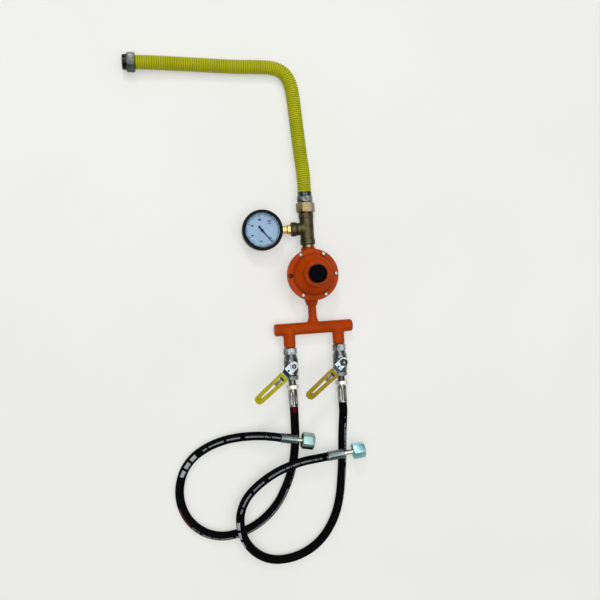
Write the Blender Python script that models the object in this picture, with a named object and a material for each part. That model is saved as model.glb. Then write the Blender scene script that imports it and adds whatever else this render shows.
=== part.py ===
"""Twin-cylinder gas regulator set, laid flat on the floor.

The gas line runs along Y. A corrugated outlet hose and a brass tee with a pressure gauge lie towards +Y,
the regulator stands on the origin, and a manifold with two ball valves and two rubber hoses lies towards -Y.
Units are metres, +Z is up, and the floor is z = 0.
"""

import math

import bmesh
import bpy
from mathutils import Matrix, Vector

MM = 0.001
# Clearances of pieces that stay put, and of pieces that move
GAP = 0.3 * MM
RUN = 0.6 * MM
# How far a cutter passes the face that it opens, and the usual chamfer of an edge
PAST = 2 * MM
EDGE = 1 * MM
# Sides of large round pieces, of other round pieces, and of small pins and holes
ROUND = 18
PLAIN = 12
SMALL = 8
HEX = "hex"

# The pipe line and the regulator
PIPE_HEIGHT = 16 * MM
BODY_RADIUS = 34 * MM
BODY_WALL = 3 * MM
BODY_FLOOR = 6.5 * MM
BODY_FOOT = 4 * MM
BODY_TOP = 38.6 * MM
CAVITY_RADIUS = BODY_RADIUS - BODY_WALL
FLANGE_WIDTH = 10.5 * MM
FLANGE_RADIUS = BODY_RADIUS + FLANGE_WIDTH
BODY_FLANGE = 5.2 * MM
FLANGE_SLOPE = 1.6 * MM
DIAPHRAGM_THICKNESS = 1.2 * MM
DIAPHRAGM_INSET = 0.4 * MM
BONNET_FLANGE = 6.1 * MM
DOME_RADIUS = BODY_RADIUS + EDGE
DOME_HEIGHT = 17 * MM
COLLAR_RADIUS = 22.6 * MM
COLLAR_HEIGHT = 14.5 * MM
BONNET_BORE = 13.5 * MM
INLET_REACH = 3.5 * MM
INLET_END = FLANGE_RADIUS + INLET_REACH
OUTLET_REACH = 8.5 * MM
OUTLET_END = FLANGE_RADIUS + OUTLET_REACH
OUTLET_LIP = 1.4 * MM
SOCKET_DEPTH = 10 * MM
THREAD_REACH = SOCKET_DEPTH - EDGE
THREAD_RADIUS = 8 * MM
SOCKET_RADIUS = THREAD_RADIUS + GAP
BOSS_WALL = 4.7 * MM
BOSS_RADIUS = SOCKET_RADIUS + BOSS_WALL
SCREW_COUNT = 6
SCREW_INSET = 4.5 * MM
SCREW_CIRCLE = FLANGE_RADIUS - SCREW_INSET
SCREW_RADIUS = 2.1 * MM
SCREW_SHORT = 0.6 * MM
SCREW_HEAD_RADIUS = 3.6 * MM
SCREW_HEAD_HEIGHT = 2.8 * MM
DIAPHRAGM_HEIGHT = BODY_TOP + GAP
BONNET_HEIGHT = DIAPHRAGM_HEIGHT + DIAPHRAGM_THICKNESS + GAP
SHOULDER = BONNET_HEIGHT + BONNET_FLANGE
DOME_TOP = SHOULDER + DOME_HEIGHT
BONNET_TOP = DOME_TOP + COLLAR_HEIGHT

# The working parts inside the regulator
PLATE_RADIUS = 20 * MM
PLATE_THICKNESS = 1.4 * MM
PLATE_HEIGHT = BONNET_HEIGHT + GAP
HUB_HEIGHT = 3 * MM
POST_RADIUS = 3 * MM
POST_LENGTH = 13.2 * MM
POST_FOOT = PLATE_HEIGHT - POST_LENGTH
SPRING_RADIUS = 10 * MM
SPRING_WIRE = 1.8 * MM
SPRING_TURNS = 5
CURL_POINTS = 10
FOLLOWER_CLEARANCE = 1.1 * MM
FOLLOWER_RADIUS = BONNET_BORE - FOLLOWER_CLEARANCE
FOLLOWER_THICKNESS = 2.6 * MM
FOLLOWER_DEPTH = 16 * MM
FOLLOWER_HEIGHT = BONNET_TOP - FOLLOWER_DEPTH
FOLLOWER_TRAVEL = 3 * MM
KNOB_RADIUS = 15.3 * MM
KNOB_HEIGHT = 9.5 * MM
KNOB_RIM = 3.4 * MM
KNOB_TIP_RADIUS = 5 * MM
KNOB_TIP = 4 * MM
ORIFICE_RADIUS = 6.2 * MM
ORIFICE_HOLE = 1.6 * MM
ORIFICE_LIP = 1.2 * MM
ORIFICE_REACH = 8.8 * MM
ORIFICE_NOSE = CAVITY_RADIUS - ORIFICE_REACH
PLUNGER_GAP = 0.7 * MM
PLUNGER_RADIUS = 4.5 * MM
PLUNGER_SLOT = 6.4 * MM
PLUNGER_REAR = 3 * MM
PLUNGER_ROOF = 1.8 * MM
PIN_RADIUS = 1.2 * MM
PIN_BEHIND_NOSE = 6.7 * MM
PIN_PLACE = ORIFICE_NOSE - PIN_BEHIND_NOSE
PIN_BELOW_PIPE = 4.8 * MM
PIN_HEIGHT = PIPE_HEIGHT - PIN_BELOW_PIPE
RELAY_WIDTH = 4 * MM
RELAY_ARM = 2.5 * MM
RELAY_FOOT = -2.6 * MM
RELAY_DROP = -0.9 * MM
RELAY_TIP = 1.2 * MM
RELAY_PAD = 2 * MM
RELAY_PLAY = 0.8 * MM
LUG_WIDTH = 3.6 * MM
LUG_MARGIN = 1.8 * MM

# The brass fittings between the regulator and the outlet hose
FITTING_BORE = 5 * MM
NIPPLE_RADIUS = THREAD_RADIUS + 3 * MM
NIPPLE_COLLAR = 5.7 * MM
TEE_RUN = 55.4 * MM
TEE_RADIUS = 12.4 * MM
TEE_COLLAR_RISE = 0.7 * MM
TEE_COLLAR_RADIUS = TEE_RADIUS + TEE_COLLAR_RISE
TEE_COLLAR = 9 * MM
TEE_BRANCH = 28.4 * MM
TEE_BRANCH_RADIUS = TEE_RADIUS - EDGE / 2
TEE_BORE = FITTING_BORE + EDGE
BRANCH_BORE = 4 * MM
BUSHING_FLATS = 29 * MM
BUSHING_LENGTH = 18 * MM
HOSE_END_FLATS = 24 * MM
HOSE_END_HEX = 11 * MM
HOSE_END_COLLAR = 6.5 * MM
NIPPLE_START = INLET_END + GAP
TEE_START = NIPPLE_START + NIPPLE_COLLAR + GAP
TEE_MIDDLE = TEE_START + TEE_RUN / 2
BUSHING_START = TEE_START + TEE_RUN + GAP
HOSE_END_START = BUSHING_START + BUSHING_LENGTH + GAP
GAS_HOSE_START = HOSE_END_START + HOSE_END_HEX + HOSE_END_COLLAR + GAP

# The corrugated outlet hose
GAS_HOSE_RADIUS = 12.2 * MM
GAS_HOSE_VALLEY = 11.1 * MM
GAS_HOSE_BORE = 9 * MM
RIB_COUNT = 124
BORE_POINTS = 30
# The tail clears the flats of the eight-sided bore.
TAIL_RADIUS = GAS_HOSE_BORE * math.cos(math.pi / 8) - GAP
TAIL_LENGTH = 16 * MM
OUTLET_FLATS = 30 * MM
OUTLET_HEX = 15 * MM
OUTLET_THREAD_RADIUS = 13.2 * MM
OUTLET_THREAD = 7 * MM
OUTLET_MOUTH = 3 * MM

# The pressure gauge, whose heights count from the pipe line
GAUGE_CASE_RADIUS = 33.8 * MM
GAUGE_WALL = 2.2 * MM
GAUGE_BACK = PIPE_HEIGHT - 12 * MM
GAUGE_CASE_TOP = PIPE_HEIGHT + 11.5 * MM
BEZEL_WALL = 1.2 * MM
BEZEL_RIM = 5.8 * MM
BEZEL_SKIRT = 6 * MM
BEZEL_LIP = 2.2 * MM
LENS_THICKNESS = 2.4 * MM
DIAL_HEIGHT = PIPE_HEIGHT + 6.4 * MM
DIAL_THICKNESS = 0.8 * MM
GAUGE_FLATS = 15.4 * MM
GAUGE_HEX = 7 * MM
GAUGE_NECK_FLATS = 12.4 * MM
GAUGE_NECK = 8.4 * MM
GAUGE_NECK_START = GAUGE_CASE_RADIUS + GAP + BEZEL_WALL + 0.8 * MM
GAUGE_HEX_START = GAUGE_NECK_START + GAUGE_NECK
GAUGE_HEX_END = GAUGE_HEX_START + GAUGE_HEX
GAUGE_REACH = GAUGE_HEX_END + GAP + TEE_BRANCH
GAUGE_THREAD_RADIUS = 6 * MM
GAUGE_SHANK_RADIUS = 5.5 * MM
GAUGE_BORE = 1.5 * MM
BLOCK_WIDTH = 11 * MM
BLOCK_LENGTH = 10 * MM
POINTER_LENGTH = 27.2 * MM
POINTER_TAIL = 8 * MM
POINTER_HUB = 2.6 * MM
POINTER_THICKNESS = 0.8 * MM
POINTER_REST = math.radians(-52)
ARBOR_RADIUS = 0.8 * MM
TOOTH_MODULE = 0.5 * MM
PINION_TEETH = 8
SECTOR_CIRCLE_TEETH = 48
SECTOR_TEETH = 9
SECTOR_HEIGHT = PIPE_HEIGHT - 2 * MM
SECTOR_THICKNESS = 1.2 * MM
SECTOR_PIN = 1 * MM
PINION_RADIUS = TOOTH_MODULE * PINION_TEETH / 2
SECTOR_RADIUS = TOOTH_MODULE * SECTOR_CIRCLE_TEETH / 2
MOVEMENT_HEIGHT = PIPE_HEIGHT - 7 * MM
MOVEMENT_THICKNESS = 1.2 * MM
MOVEMENT_WIDTH = 10 * MM
BOURDON_RADIUS = 22 * MM
BOURDON_WIDTH = 7 * MM
BOURDON_DEPTH = 2.6 * MM
BOURDON_START = math.radians(20)
BOURDON_SWEEP = math.radians(275)

# The manifold
MANIFOLD_RADIUS = 10.65 * MM
MANIFOLD_WALL = 2.6 * MM
MANIFOLD_CAP = 4 * MM
MANIFOLD_EDGE = 1.2 * MM
MANIFOLD_DROP = 39 * MM
MANIFOLD_PLACE = OUTLET_END + MANIFOLD_DROP
MANIFOLD_LENGTH = 139.5 * MM
STUB_RADIUS = 7.2 * MM
STUB_INSERT = 12 * MM
LEG_SPACING = 88 * MM
LEG_LENGTH = 31.5 * MM
LEG_THREAD_RADIUS = 8.8 * MM
LEG_SOCKET = LEG_THREAD_RADIUS + GAP
LEG_WALL = 1.3 * MM
LEG_RADIUS = LEG_SOCKET + LEG_WALL
LEG_SOCKET_DEPTH = SOCKET_DEPTH + 2 * MM
LEG_END = MANIFOLD_PLACE + LEG_LENGTH

# The ball valves, whose levers point about half-way between shut and open
BALL_RADIUS = 8.4 * MM
BALL_POCKET = BALL_RADIUS + RUN
BALL_SLOT_DEPTH = 2.4 * MM
BALL_SLOT_WIDTH = 3.4 * MM
VALVE_BORE = 5 * MM
VALVE_WALL = 3.6 * MM
VALVE_RADIUS = BALL_POCKET + VALVE_WALL
VALVE_END_WALL = 1.3 * MM
VALVE_FLATS = 2 * (BALL_POCKET + VALVE_END_WALL)
VALVE_HEX = 12.2 * MM
VALVE_LENGTH = 56.2 * MM
VALVE_STEM_PLACE = 30.8 * MM
VALVE_SHOULDER = 9 * MM
VALVE_END_HEX = 7.7 * MM
VALVE_START = LEG_END + GAP
BALL_PLACE = VALVE_START + VALVE_STEM_PLACE
VALVE_END_START = VALVE_START + VALVE_LENGTH - VALVE_END_HEX
STEM_RADIUS = 3.9 * MM
STEM_BOSS_RADIUS = 7.5 * MM
STEM_BOSS_RISE = 4.4 * MM
STEM_BOSS_TOP = VALVE_RADIUS + STEM_BOSS_RISE
STEM_FOOT = 0.8 * MM
STEM_KEY_WIDTH = BALL_SLOT_WIDTH - 2 * (GAP + 0.1 * MM)
STEM_KEY_LENGTH = 5.6 * MM
STUD_RADIUS = 3 * MM
STUD_END = 0.6 * MM
LEVER_HEADING = math.radians(218)
LEVER_CLEARANCE = 5 * MM
LEVER_HEIGHT = STEM_BOSS_TOP + LEVER_CLEARANCE
LEVER_THICKNESS = 2.2 * MM
LEVER_RISE = 12.4 * MM
LEVER_WIDTH = 15 * MM
LEVER_BEND = 14.6 * MM
LEVER_SLOPE = 6.6 * MM
TONGUE_WIDTH = 4.4 * MM
TONGUE_END = 46 * MM
LEVER_NUT_FLATS = 12 * MM
LEVER_NUT_HEIGHT = 5 * MM
GRIP_START = 22.6 * MM
GRIP_END = 88.5 * MM
GRIP_START_WIDTH = 17.4 * MM
GRIP_END_WIDTH = 15.6 * MM
GRIP_CORNER = 2 * MM
GRIP_THICKNESS = 5.2 * MM
GRIP_WALL = 6 * MM
GRIP_TIP = 12 * MM

# The rubber hoses and their fittings
HOSE_DIAMETER = 14.8 * MM
HOSE_INSERT_RADIUS = 3.8 * MM
HOSE_BORE = 2.4 * MM
HOSE_THREAD_RADIUS = 6.8 * MM
TAIL_SOCKET = HOSE_THREAD_RADIUS + GAP
TAIL_SEAT = 0.2 * MM
HOSE_THREAD_SHOWN = 8 * MM
HOSE_NECK_RADIUS = 5.5 * MM
HOSE_HEX_FLATS = 19 * MM
HOSE_HEX = 7 * MM
FERRULE_NECK = 2 * MM
FERRULE_WALL = 0.8 * MM
FERRULE_RADIUS = HOSE_DIAMETER / 2 + FERRULE_WALL
FERRULE_LENGTH = 29.5 * MM
FERRULE_BORE = HOSE_INSERT_RADIUS + GAP
FERRULE_EDGE = 0.8 * MM
END_FERRULE_WALL = 1.1 * MM
END_FERRULE_RADIUS = HOSE_DIAMETER / 2 + END_FERRULE_WALL
END_FERRULE_LENGTH = 29 * MM
INSERT_SHORT = 2 * MM
END_TAIL_RADIUS = 4.4 * MM
NUT_THREAD_RADIUS = 10.6 * MM
NUT_WALL = 1.9 * MM
NUT_FLATS = 2 * (NUT_THREAD_RADIUS + NUT_WALL)
NUT_LENGTH = 21.5 * MM
NUT_BACK = 4 * MM
END_HEAD_CLEARANCE = 2.1 * MM
END_HEAD_RADIUS = NUT_THREAD_RADIUS - END_HEAD_CLEARANCE
END_HEAD = 3 * MM
END_NOSE = 4 * MM
HOSE_HEX_START = HOSE_THREAD_SHOWN + GAP
FERRULE_START = HOSE_HEX_START + HOSE_HEX + FERRULE_NECK
HOSE_END = VALVE_END_START + VALVE_END_HEX + FERRULE_START + FERRULE_LENGTH

# Routes chosen along the hoses as they lie, in millimetres
GAS_HOSE_ROUTE = (
    (-0.8, 190, 14.4), (-2.4, 213, 13), (-4, 238, 12.6), (-5.6, 264, 12.6), (-7.3, 292, 12.6),
    (-9, 316, 12.6), (-11.8, 335, 12.6), (-19, 352, 12.6), (-32.6, 362.8, 12.6), (-51, 367, 12.6),
    (-76, 367.9, 12.6), (-104, 368.2, 12.6), (-136, 369.8, 12.6), (-170, 371.8, 12.6),
    (-203, 373.4, 12.9), (-230, 374.5, 14.1),
)
GAS_HOSE_FINISH = Vector((-275, 375.6, 15.2)) * MM
GAS_HOSE_HEADING = math.radians(178.7)
LEFT_HOSE_ROUTE = (
    (-43.9, -251, 13.9), (-43.6, -266, 10.7), (-43.9, -283, 8.4), (-46, -302, 7.7), (-50, -323, 7.7),
    (-57, -346, 7.7), (-67, -368, 7.7), (-81.5, -391.5, 7.7), (-101, -411.5, 7.7), (-125, -427, 7.7),
    (-152, -436, 7.7), (-180, -438, 7.7), (-205, -431, 7.7), (-226, -416, 7.7), (-240.5, -396, 7.7),
    (-248.4, -371, 7.7), (-248, -345, 7.7), (-239, -319, 7.7), (-221.5, -298, 7.7), (-197, -283.6, 7.7),
    (-171, -275.4, 7.8), (-146, -271.8, 9.6), (-122, -270.9, 14.6), (-103, -271.4, 20.8),
)
RIGHT_HOSE_ROUTE = (
    (43.6, -252, 13.9), (42.4, -270, 10.4), (40.8, -292, 8.2), (39.2, -316, 7.7), (37, -340, 7.7),
    (34, -364, 7.7), (29.8, -390, 7.7), (22.6, -416, 7.7), (11, -440, 7.7), (-6, -462, 7.7),
    (-28, -478.6, 7.7), (-55, -489, 7.7), (-84, -491.4, 7.7), (-109, -484.6, 9.4), (-130, -467.5, 16.4),
    (-145, -444, 24.4), (-151, -418, 25.2), (-148, -395.5, 22.4), (-136, -374, 20), (-115.5, -355.4, 20),
    (-90, -339.4, 22.2), (-62, -327.8, 24.8), (-34, -321.4, 25.4),
)
# Each fitting's start, heading, length of bare tail behind the nut, and how far the nut is spun
CYLINDER_ENDS = {
    "left": (Vector((-72, -276.6, 25.4)) * MM, math.radians(-12.5), 8 * MM, math.radians(-16)),
    "right": (Vector((8.2, -317.6, 25.4)) * MM, math.radians(5), 16 * MM, math.radians(-26)),
}
HOSE_ROUTES = {"left": LEFT_HOSE_ROUTE, "right": RIGHT_HOSE_ROUTE}
SIDES = {"left": -1, "right": 1}

UP = Vector((0, 0, 1))
ALONG_X = Vector((1, 0, 0))
FORWARD = Vector((0, 1, 0))
BACKWARD = -FORWARD
PIN_AT = PIN_PLACE * FORWARD + PIN_HEIGHT * UP
PIN_REACH = PLUNGER_RADIUS + RUN + LUG_WIDTH


def material(name, colour, roughness, metallic=0.0):
    made = bpy.data.materials.new(name)
    made.use_nodes = True
    shader = made.node_tree.nodes["Principled BSDF"]
    shader.inputs["Base Color"].default_value = (*colour, 1)
    shader.inputs["Roughness"].default_value = roughness
    shader.inputs["Metallic"].default_value = metallic
    return made


def lying(direction, spin=0.0):
    """The turn that sets a piece's own Z along a level direction, with its Y up and then spun about Z."""
    laid = Matrix((UP.cross(direction), UP, direction)).transposed()
    return (laid @ Matrix.Rotation(spin, 3, "Z")).to_euler()


def heading(angle):
    return Vector((math.cos(angle), math.sin(angle), 0))


def turned(profile, sides=PLAIN):
    """A piece turned about Z from (radius, height) points, where HEX marks half of a hexagon's flats.

    A profile that starts on the axis is closed by its ends there, and any other profile closes on itself.
    """
    bm = bmesh.new()
    rings = []
    for radius, height, *kind in profile:
        ring = []
        for k in range(sides if radius else 1):
            angle = math.tau * k / sides
            reach = radius
            if HEX in kind:
                reach = radius / math.cos(angle % (math.pi / 3) - math.pi / 6)
            ring.append(bm.verts.new((reach * math.cos(angle), reach * math.sin(angle), height)))
        rings.append(ring)
    pairs = list(zip(rings, rings[1:]))
    if profile[0][0]:
        pairs.append((rings[-1], rings[0]))
    for low, high in pairs:
        for k in range(sides):
            near = (low[k % len(low)], low[(k + 1) % len(low)])
            far = (high[(k + 1) % len(high)], high[k % len(high)])
            bm.faces.new(dict.fromkeys(near + far))
    bmesh.ops.recalc_face_normals(bm, faces=bm.faces[:])
    return bm


def rod(radius, start, end, sides=PLAIN):
    return turned([(0, start), (radius, start), (radius, end), (0, end)], sides)


def extruded(outline, depth):
    """An outline in the XY plane, drawn out along Z."""
    bm = bmesh.new()
    face = bm.faces.new([bm.verts.new((x, y, 0)) for x, y in outline])
    grown = bmesh.ops.extrude_face_region(bm, geom=[face])["geom"]
    moved = [item for item in grown if isinstance(item, bmesh.types.BMVert)]
    bmesh.ops.translate(bm, verts=moved, vec=(0, 0, depth))
    bmesh.ops.recalc_face_normals(bm, faces=bm.faces[:])
    return bm


def block(low, high):
    """A box between two corners."""
    low, high = Vector(low), Vector(high)
    bm = bmesh.new()
    size = Matrix.Diagonal((*(high - low), 1))
    bmesh.ops.create_cube(bm, size=1, matrix=Matrix.Translation((low + high) / 2) @ size)
    return bm


def place(name, data, at, turn, parent):
    thing = bpy.data.objects.new(name, data)
    bpy.context.scene.collection.objects.link(thing)
    thing.location = at
    thing.rotation_euler = turn
    thing.parent = parent
    return thing


def piece(name, bm, look, at=(0, 0, 0), turn=(0, 0, 0), parent=None):
    mesh = bpy.data.meshes.new(name)
    bm.to_mesh(mesh)
    bm.free()
    mesh.shade_smooth()
    mesh.set_sharp_from_angle(angle=math.radians(30))
    mesh.materials.append(look)
    return place(name, mesh, at, turn, parent)


def combine(target, bm, operation, at=(0, 0, 0), turn=(0, 0, 0)):
    """Joins a shape to a piece, or cuts it out, in the space of the piece's parent."""
    mesh = bpy.data.meshes.new(target.name)
    bm.to_mesh(mesh)
    bm.free()
    tool = place(f"{target.name}_tool_{len(target.modifiers)}", mesh, at, turn, target.parent)
    tool.hide_render = True
    tool.display_type = "WIRE"
    boolean = target.modifiers.new(tool.name, "BOOLEAN")
    boolean.operation = operation
    boolean.object = tool


def cut(target, bm, at=(0, 0, 0), turn=(0, 0, 0)):
    combine(target, bm, "DIFFERENCE", at, turn)


def join(target, bm, at=(0, 0, 0), turn=(0, 0, 0)):
    combine(target, bm, "UNION", at, turn)


def pivot(name, at, turn=0.0):
    return place(name, None, at, (0, 0, turn), None)


def smooth_route(points, steps):
    """Evenly spaced points along a smooth curve through the route's own points."""
    closed_in = [2 * points[0] - points[1], *points, 2 * points[-1] - points[-2]]
    dense = []
    for before, start, end, after in zip(closed_in, closed_in[1:], closed_in[2:], closed_in[3:]):
        for k in range(24):
            t = k / 24
            bend = 2 * before - 5 * start + 4 * end - after
            twist = 3 * (start - end) + after - before
            dense.append(start + t * (end - before) / 2 + t * t * bend / 2 + t ** 3 * twist / 2)
    dense.append(points[-1])
    walked = [0.0]
    for start, end in zip(dense, dense[1:]):
        walked.append(walked[-1] + (end - start).length)
    spaced = []
    k = 0
    for step in range(steps + 1):
        wanted = walked[-1] * step / steps
        while k < len(dense) - 2 and walked[k + 1] < wanted:
            k += 1
        share = (wanted - walked[k]) / (walked[k + 1] - walked[k])
        spaced.append(dense[k].lerp(dense[k + 1], share))
    return spaced, walked[-1]


def hose_points(start, start_direction, route, end, end_direction, straight):
    """The route with a straight run square to the fitting at each end."""
    middle = [Vector(point) * MM for point in route]
    opening = [start + start_direction * straight * share for share in (0, 0.5, 1)]
    closing = [end - end_direction * straight * share for share in (1, 0.5, 0)]
    return opening + middle + closing


def tube(name, points, radii, sides_step, look):
    """A curve object with a round bevel. The radii repeat along its points."""
    curve = bpy.data.curves.new(name, "CURVE")
    curve.dimensions = "3D"
    curve.bevel_depth = max(radii)
    curve.bevel_resolution = sides_step
    curve.use_fill_caps = True
    spline = curve.splines.new("POLY")
    spline.points.add(len(points) - 1)
    for k, point in enumerate(points):
        spline.points[k].co = (*point, 1)
        spline.points[k].radius = radii[k % len(radii)] / max(radii)
    curve.materials.append(look)
    return place(name, curve, (0, 0, 0), (0, 0, 0), None)


def mesh_of(tube_object):
    """The closed mesh of a tube, which takes the tube's place."""
    bpy.context.view_layer.update()
    graph = bpy.context.evaluated_depsgraph_get()
    mesh = bpy.data.meshes.new_from_object(tube_object.evaluated_get(graph))
    bpy.data.objects.remove(tube_object)
    bm = bmesh.new()
    bm.from_mesh(mesh)
    bmesh.ops.remove_doubles(bm, verts=bm.verts[:], dist=0.001 * MM)
    bmesh.ops.recalc_face_normals(bm, faces=bm.faces[:])
    return bm


def at_pipe(y):
    return Vector((0, y, PIPE_HEIGHT))


def screw_holes(low, high):
    """Clearance holes on the flange's screw circle, as one set of cutters."""
    bm = bmesh.new()
    for k in range(SCREW_COUNT):
        angle = math.tau * k / SCREW_COUNT
        at = Matrix.Translation(SCREW_CIRCLE * heading(angle) + (low + high) / 2 * UP)
        flat_outwards = Matrix.Rotation(angle + math.pi / SMALL, 4, "Z")
        hole = {"radius1": SCREW_RADIUS + GAP, "radius2": SCREW_RADIUS + GAP, "depth": high - low}
        bmesh.ops.create_cone(bm, cap_ends=True, segments=SMALL, matrix=at @ flat_outwards, **hole)
    return bm


def regulator_body(look):
    body = piece("regulator_body", turned([
        (0, 0),
        (BODY_RADIUS - BODY_FOOT, 0),
        (BODY_RADIUS, BODY_FOOT),
        (BODY_RADIUS, BODY_TOP - BODY_FLANGE - FLANGE_SLOPE),
        (FLANGE_RADIUS - EDGE, BODY_TOP - BODY_FLANGE),
        (FLANGE_RADIUS, BODY_TOP - BODY_FLANGE + EDGE),
        (FLANGE_RADIUS, BODY_TOP),
        (CAVITY_RADIUS, BODY_TOP),
        (CAVITY_RADIUS, BODY_FLOOR),
        (0, BODY_FLOOR),
    ], ROUND), look)
    inner = CAVITY_RADIUS - BODY_WALL
    join(body, rod(BOSS_RADIUS, inner, INLET_END, ROUND), at_pipe(0), lying(FORWARD))
    join(body, turned([
        (0, inner),
        (BOSS_RADIUS, inner),
        (BOSS_RADIUS, SCREW_CIRCLE),
        (STUB_RADIUS + GAP + OUTLET_LIP, OUTLET_END),
        (0, OUTLET_END),
    ], ROUND), at_pipe(0), lying(BACKWARD))
    for side in SIDES.values():
        near = side * (PLUNGER_RADIUS + RUN)
        far = near + side * LUG_WIDTH
        margin = PIN_RADIUS + LUG_MARGIN
        low = (min(near, far), PIN_PLACE - margin, BODY_FLOOR - EDGE)
        high = (max(near, far), PIN_PLACE + margin, PIN_HEIGHT + margin)
        join(body, block(low, high))
    cut(body, rod(PIN_RADIUS + GAP, -PIN_REACH - PAST, PIN_REACH + PAST, SMALL), PIN_AT, lying(ALONG_X))
    cut(body, turned([
        (0, inner - PAST),
        (ORIFICE_RADIUS + GAP, inner - PAST),
        (ORIFICE_RADIUS + GAP, INLET_END - SOCKET_DEPTH),
        (SOCKET_RADIUS, INLET_END - SOCKET_DEPTH),
        (SOCKET_RADIUS, INLET_END + PAST),
        (0, INLET_END + PAST),
    ]), at_pipe(0), lying(FORWARD))
    cut(body, rod(STUB_RADIUS + GAP, inner - PAST, OUTLET_END + PAST), at_pipe(0), lying(BACKWARD))
    cut(body, screw_holes(BODY_TOP - BODY_FLANGE - FLANGE_SLOPE - PAST, BODY_TOP + PAST))


def regulator_bonnet(look):
    bonnet = piece("regulator_bonnet", turned([
        (FLANGE_RADIUS, BONNET_HEIGHT),
        (FLANGE_RADIUS, SHOULDER - EDGE),
        (FLANGE_RADIUS - EDGE, SHOULDER),
        (DOME_RADIUS + EDGE, SHOULDER),
        (DOME_RADIUS, SHOULDER + 1.5 * MM),
        (DOME_RADIUS - 1.5 * MM, SHOULDER + 0.45 * DOME_HEIGHT),
        (DOME_RADIUS - 5 * MM, SHOULDER + 0.78 * DOME_HEIGHT),
        (COLLAR_RADIUS + 1.5 * MM, DOME_TOP),
        (COLLAR_RADIUS, DOME_TOP + 2 * MM),
        (COLLAR_RADIUS - 0.6 * MM, BONNET_TOP - 1.4 * MM),
        (COLLAR_RADIUS - 2 * MM, BONNET_TOP),
        (BONNET_BORE, BONNET_TOP),
        (BONNET_BORE, DOME_TOP - 3.5 * MM),
        (DOME_RADIUS - 12 * MM, SHOULDER + 0.62 * DOME_HEIGHT),
        (DOME_RADIUS - 6 * MM, SHOULDER + 0.32 * DOME_HEIGHT),
        (CAVITY_RADIUS, BONNET_HEIGHT),
    ], ROUND), look)
    cut(bonnet, screw_holes(BONNET_HEIGHT - PAST, SHOULDER + PAST))


def bonnet_screws(bright, dark):
    head = SHOULDER + GAP
    tip = BODY_TOP - BODY_FLANGE + SCREW_SHORT - head
    for k in range(SCREW_COUNT):
        angle = math.tau * k / SCREW_COUNT
        look = dark if k == SCREW_COUNT // 2 else bright
        piece(f"bonnet_screw_{k + 1}", turned([
            (0, tip),
            (SCREW_RADIUS, tip),
            (SCREW_RADIUS, 0),
            (SCREW_HEAD_RADIUS, 0),
            (SCREW_HEAD_RADIUS, 0.6 * SCREW_HEAD_HEIGHT),
            (0.7 * SCREW_HEAD_RADIUS, SCREW_HEAD_HEIGHT),
            (0, SCREW_HEAD_HEIGHT),
        ], SMALL), look, SCREW_CIRCLE * heading(angle) + head * UP, (0, 0, angle + math.pi / SMALL))


def diaphragm_parts(rubber, steel):
    diaphragm = piece("regulator_diaphragm", turned([
        (POST_RADIUS + RUN, DIAPHRAGM_HEIGHT),
        (FLANGE_RADIUS - DIAPHRAGM_INSET, DIAPHRAGM_HEIGHT),
        (FLANGE_RADIUS - DIAPHRAGM_INSET, DIAPHRAGM_HEIGHT + DIAPHRAGM_THICKNESS),
        (POST_RADIUS + RUN, DIAPHRAGM_HEIGHT + DIAPHRAGM_THICKNESS),
    ], ROUND), rubber)
    cut(diaphragm, screw_holes(DIAPHRAGM_HEIGHT - PAST, BONNET_HEIGHT + PAST))
    hub = SPRING_RADIUS - SPRING_WIRE / 2 - RUN
    piece("diaphragm_plate", turned([
        (0, -POST_LENGTH),
        (POST_RADIUS, -POST_LENGTH),
        (POST_RADIUS, 0),
        (PLATE_RADIUS, 0),
        (PLATE_RADIUS, PLATE_THICKNESS),
        (hub, PLATE_THICKNESS),
        (hub - EDGE, PLATE_THICKNESS + HUB_HEIGHT),
        (0, PLATE_THICKNESS + HUB_HEIGHT),
    ]), steel, (0, 0, PLATE_HEIGHT))


def adjuster(steel, plastic):
    low = PLATE_HEIGHT + PLATE_THICKNESS + GAP + SPRING_WIRE / 2
    high = FOLLOWER_HEIGHT - GAP - SPRING_WIRE / 2
    steps = CURL_POINTS * SPRING_TURNS
    coil = []
    for k in range(steps + 1):
        turn = math.tau * k / CURL_POINTS
        coil.append(SPRING_RADIUS * heading(turn) + (low + (high - low) * k / steps) * UP)
    tube("regulator_spring", coil, [SPRING_WIRE / 2], 0, steel)
    piece("spring_follower", turned([
        (0, 0),
        (FOLLOWER_RADIUS, 0),
        (FOLLOWER_RADIUS, FOLLOWER_THICKNESS),
        (0, FOLLOWER_THICKNESS),
    ]), steel, (0, 0, FOLLOWER_HEIGHT))
    head = BONNET_TOP + GAP
    tip = FOLLOWER_HEIGHT + FOLLOWER_THICKNESS + FOLLOWER_TRAVEL - head
    piece("adjuster_knob", turned([
        (0, tip),
        (KNOB_TIP_RADIUS, tip),
        (KNOB_TIP_RADIUS, tip + KNOB_TIP),
        (BONNET_BORE - RUN, tip + KNOB_TIP + EDGE),
        (BONNET_BORE - RUN, 0),
        (KNOB_RADIUS, 0),
        (KNOB_RADIUS, KNOB_HEIGHT - EDGE),
        (KNOB_RADIUS - EDGE, KNOB_HEIGHT),
        (KNOB_RADIUS - KNOB_RIM, KNOB_HEIGHT),
        (KNOB_RADIUS - KNOB_RIM - EDGE / 2, KNOB_HEIGHT - EDGE),
        (0, KNOB_HEIGHT - EDGE),
    ], ROUND), plastic, (0, 0, head))


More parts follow.
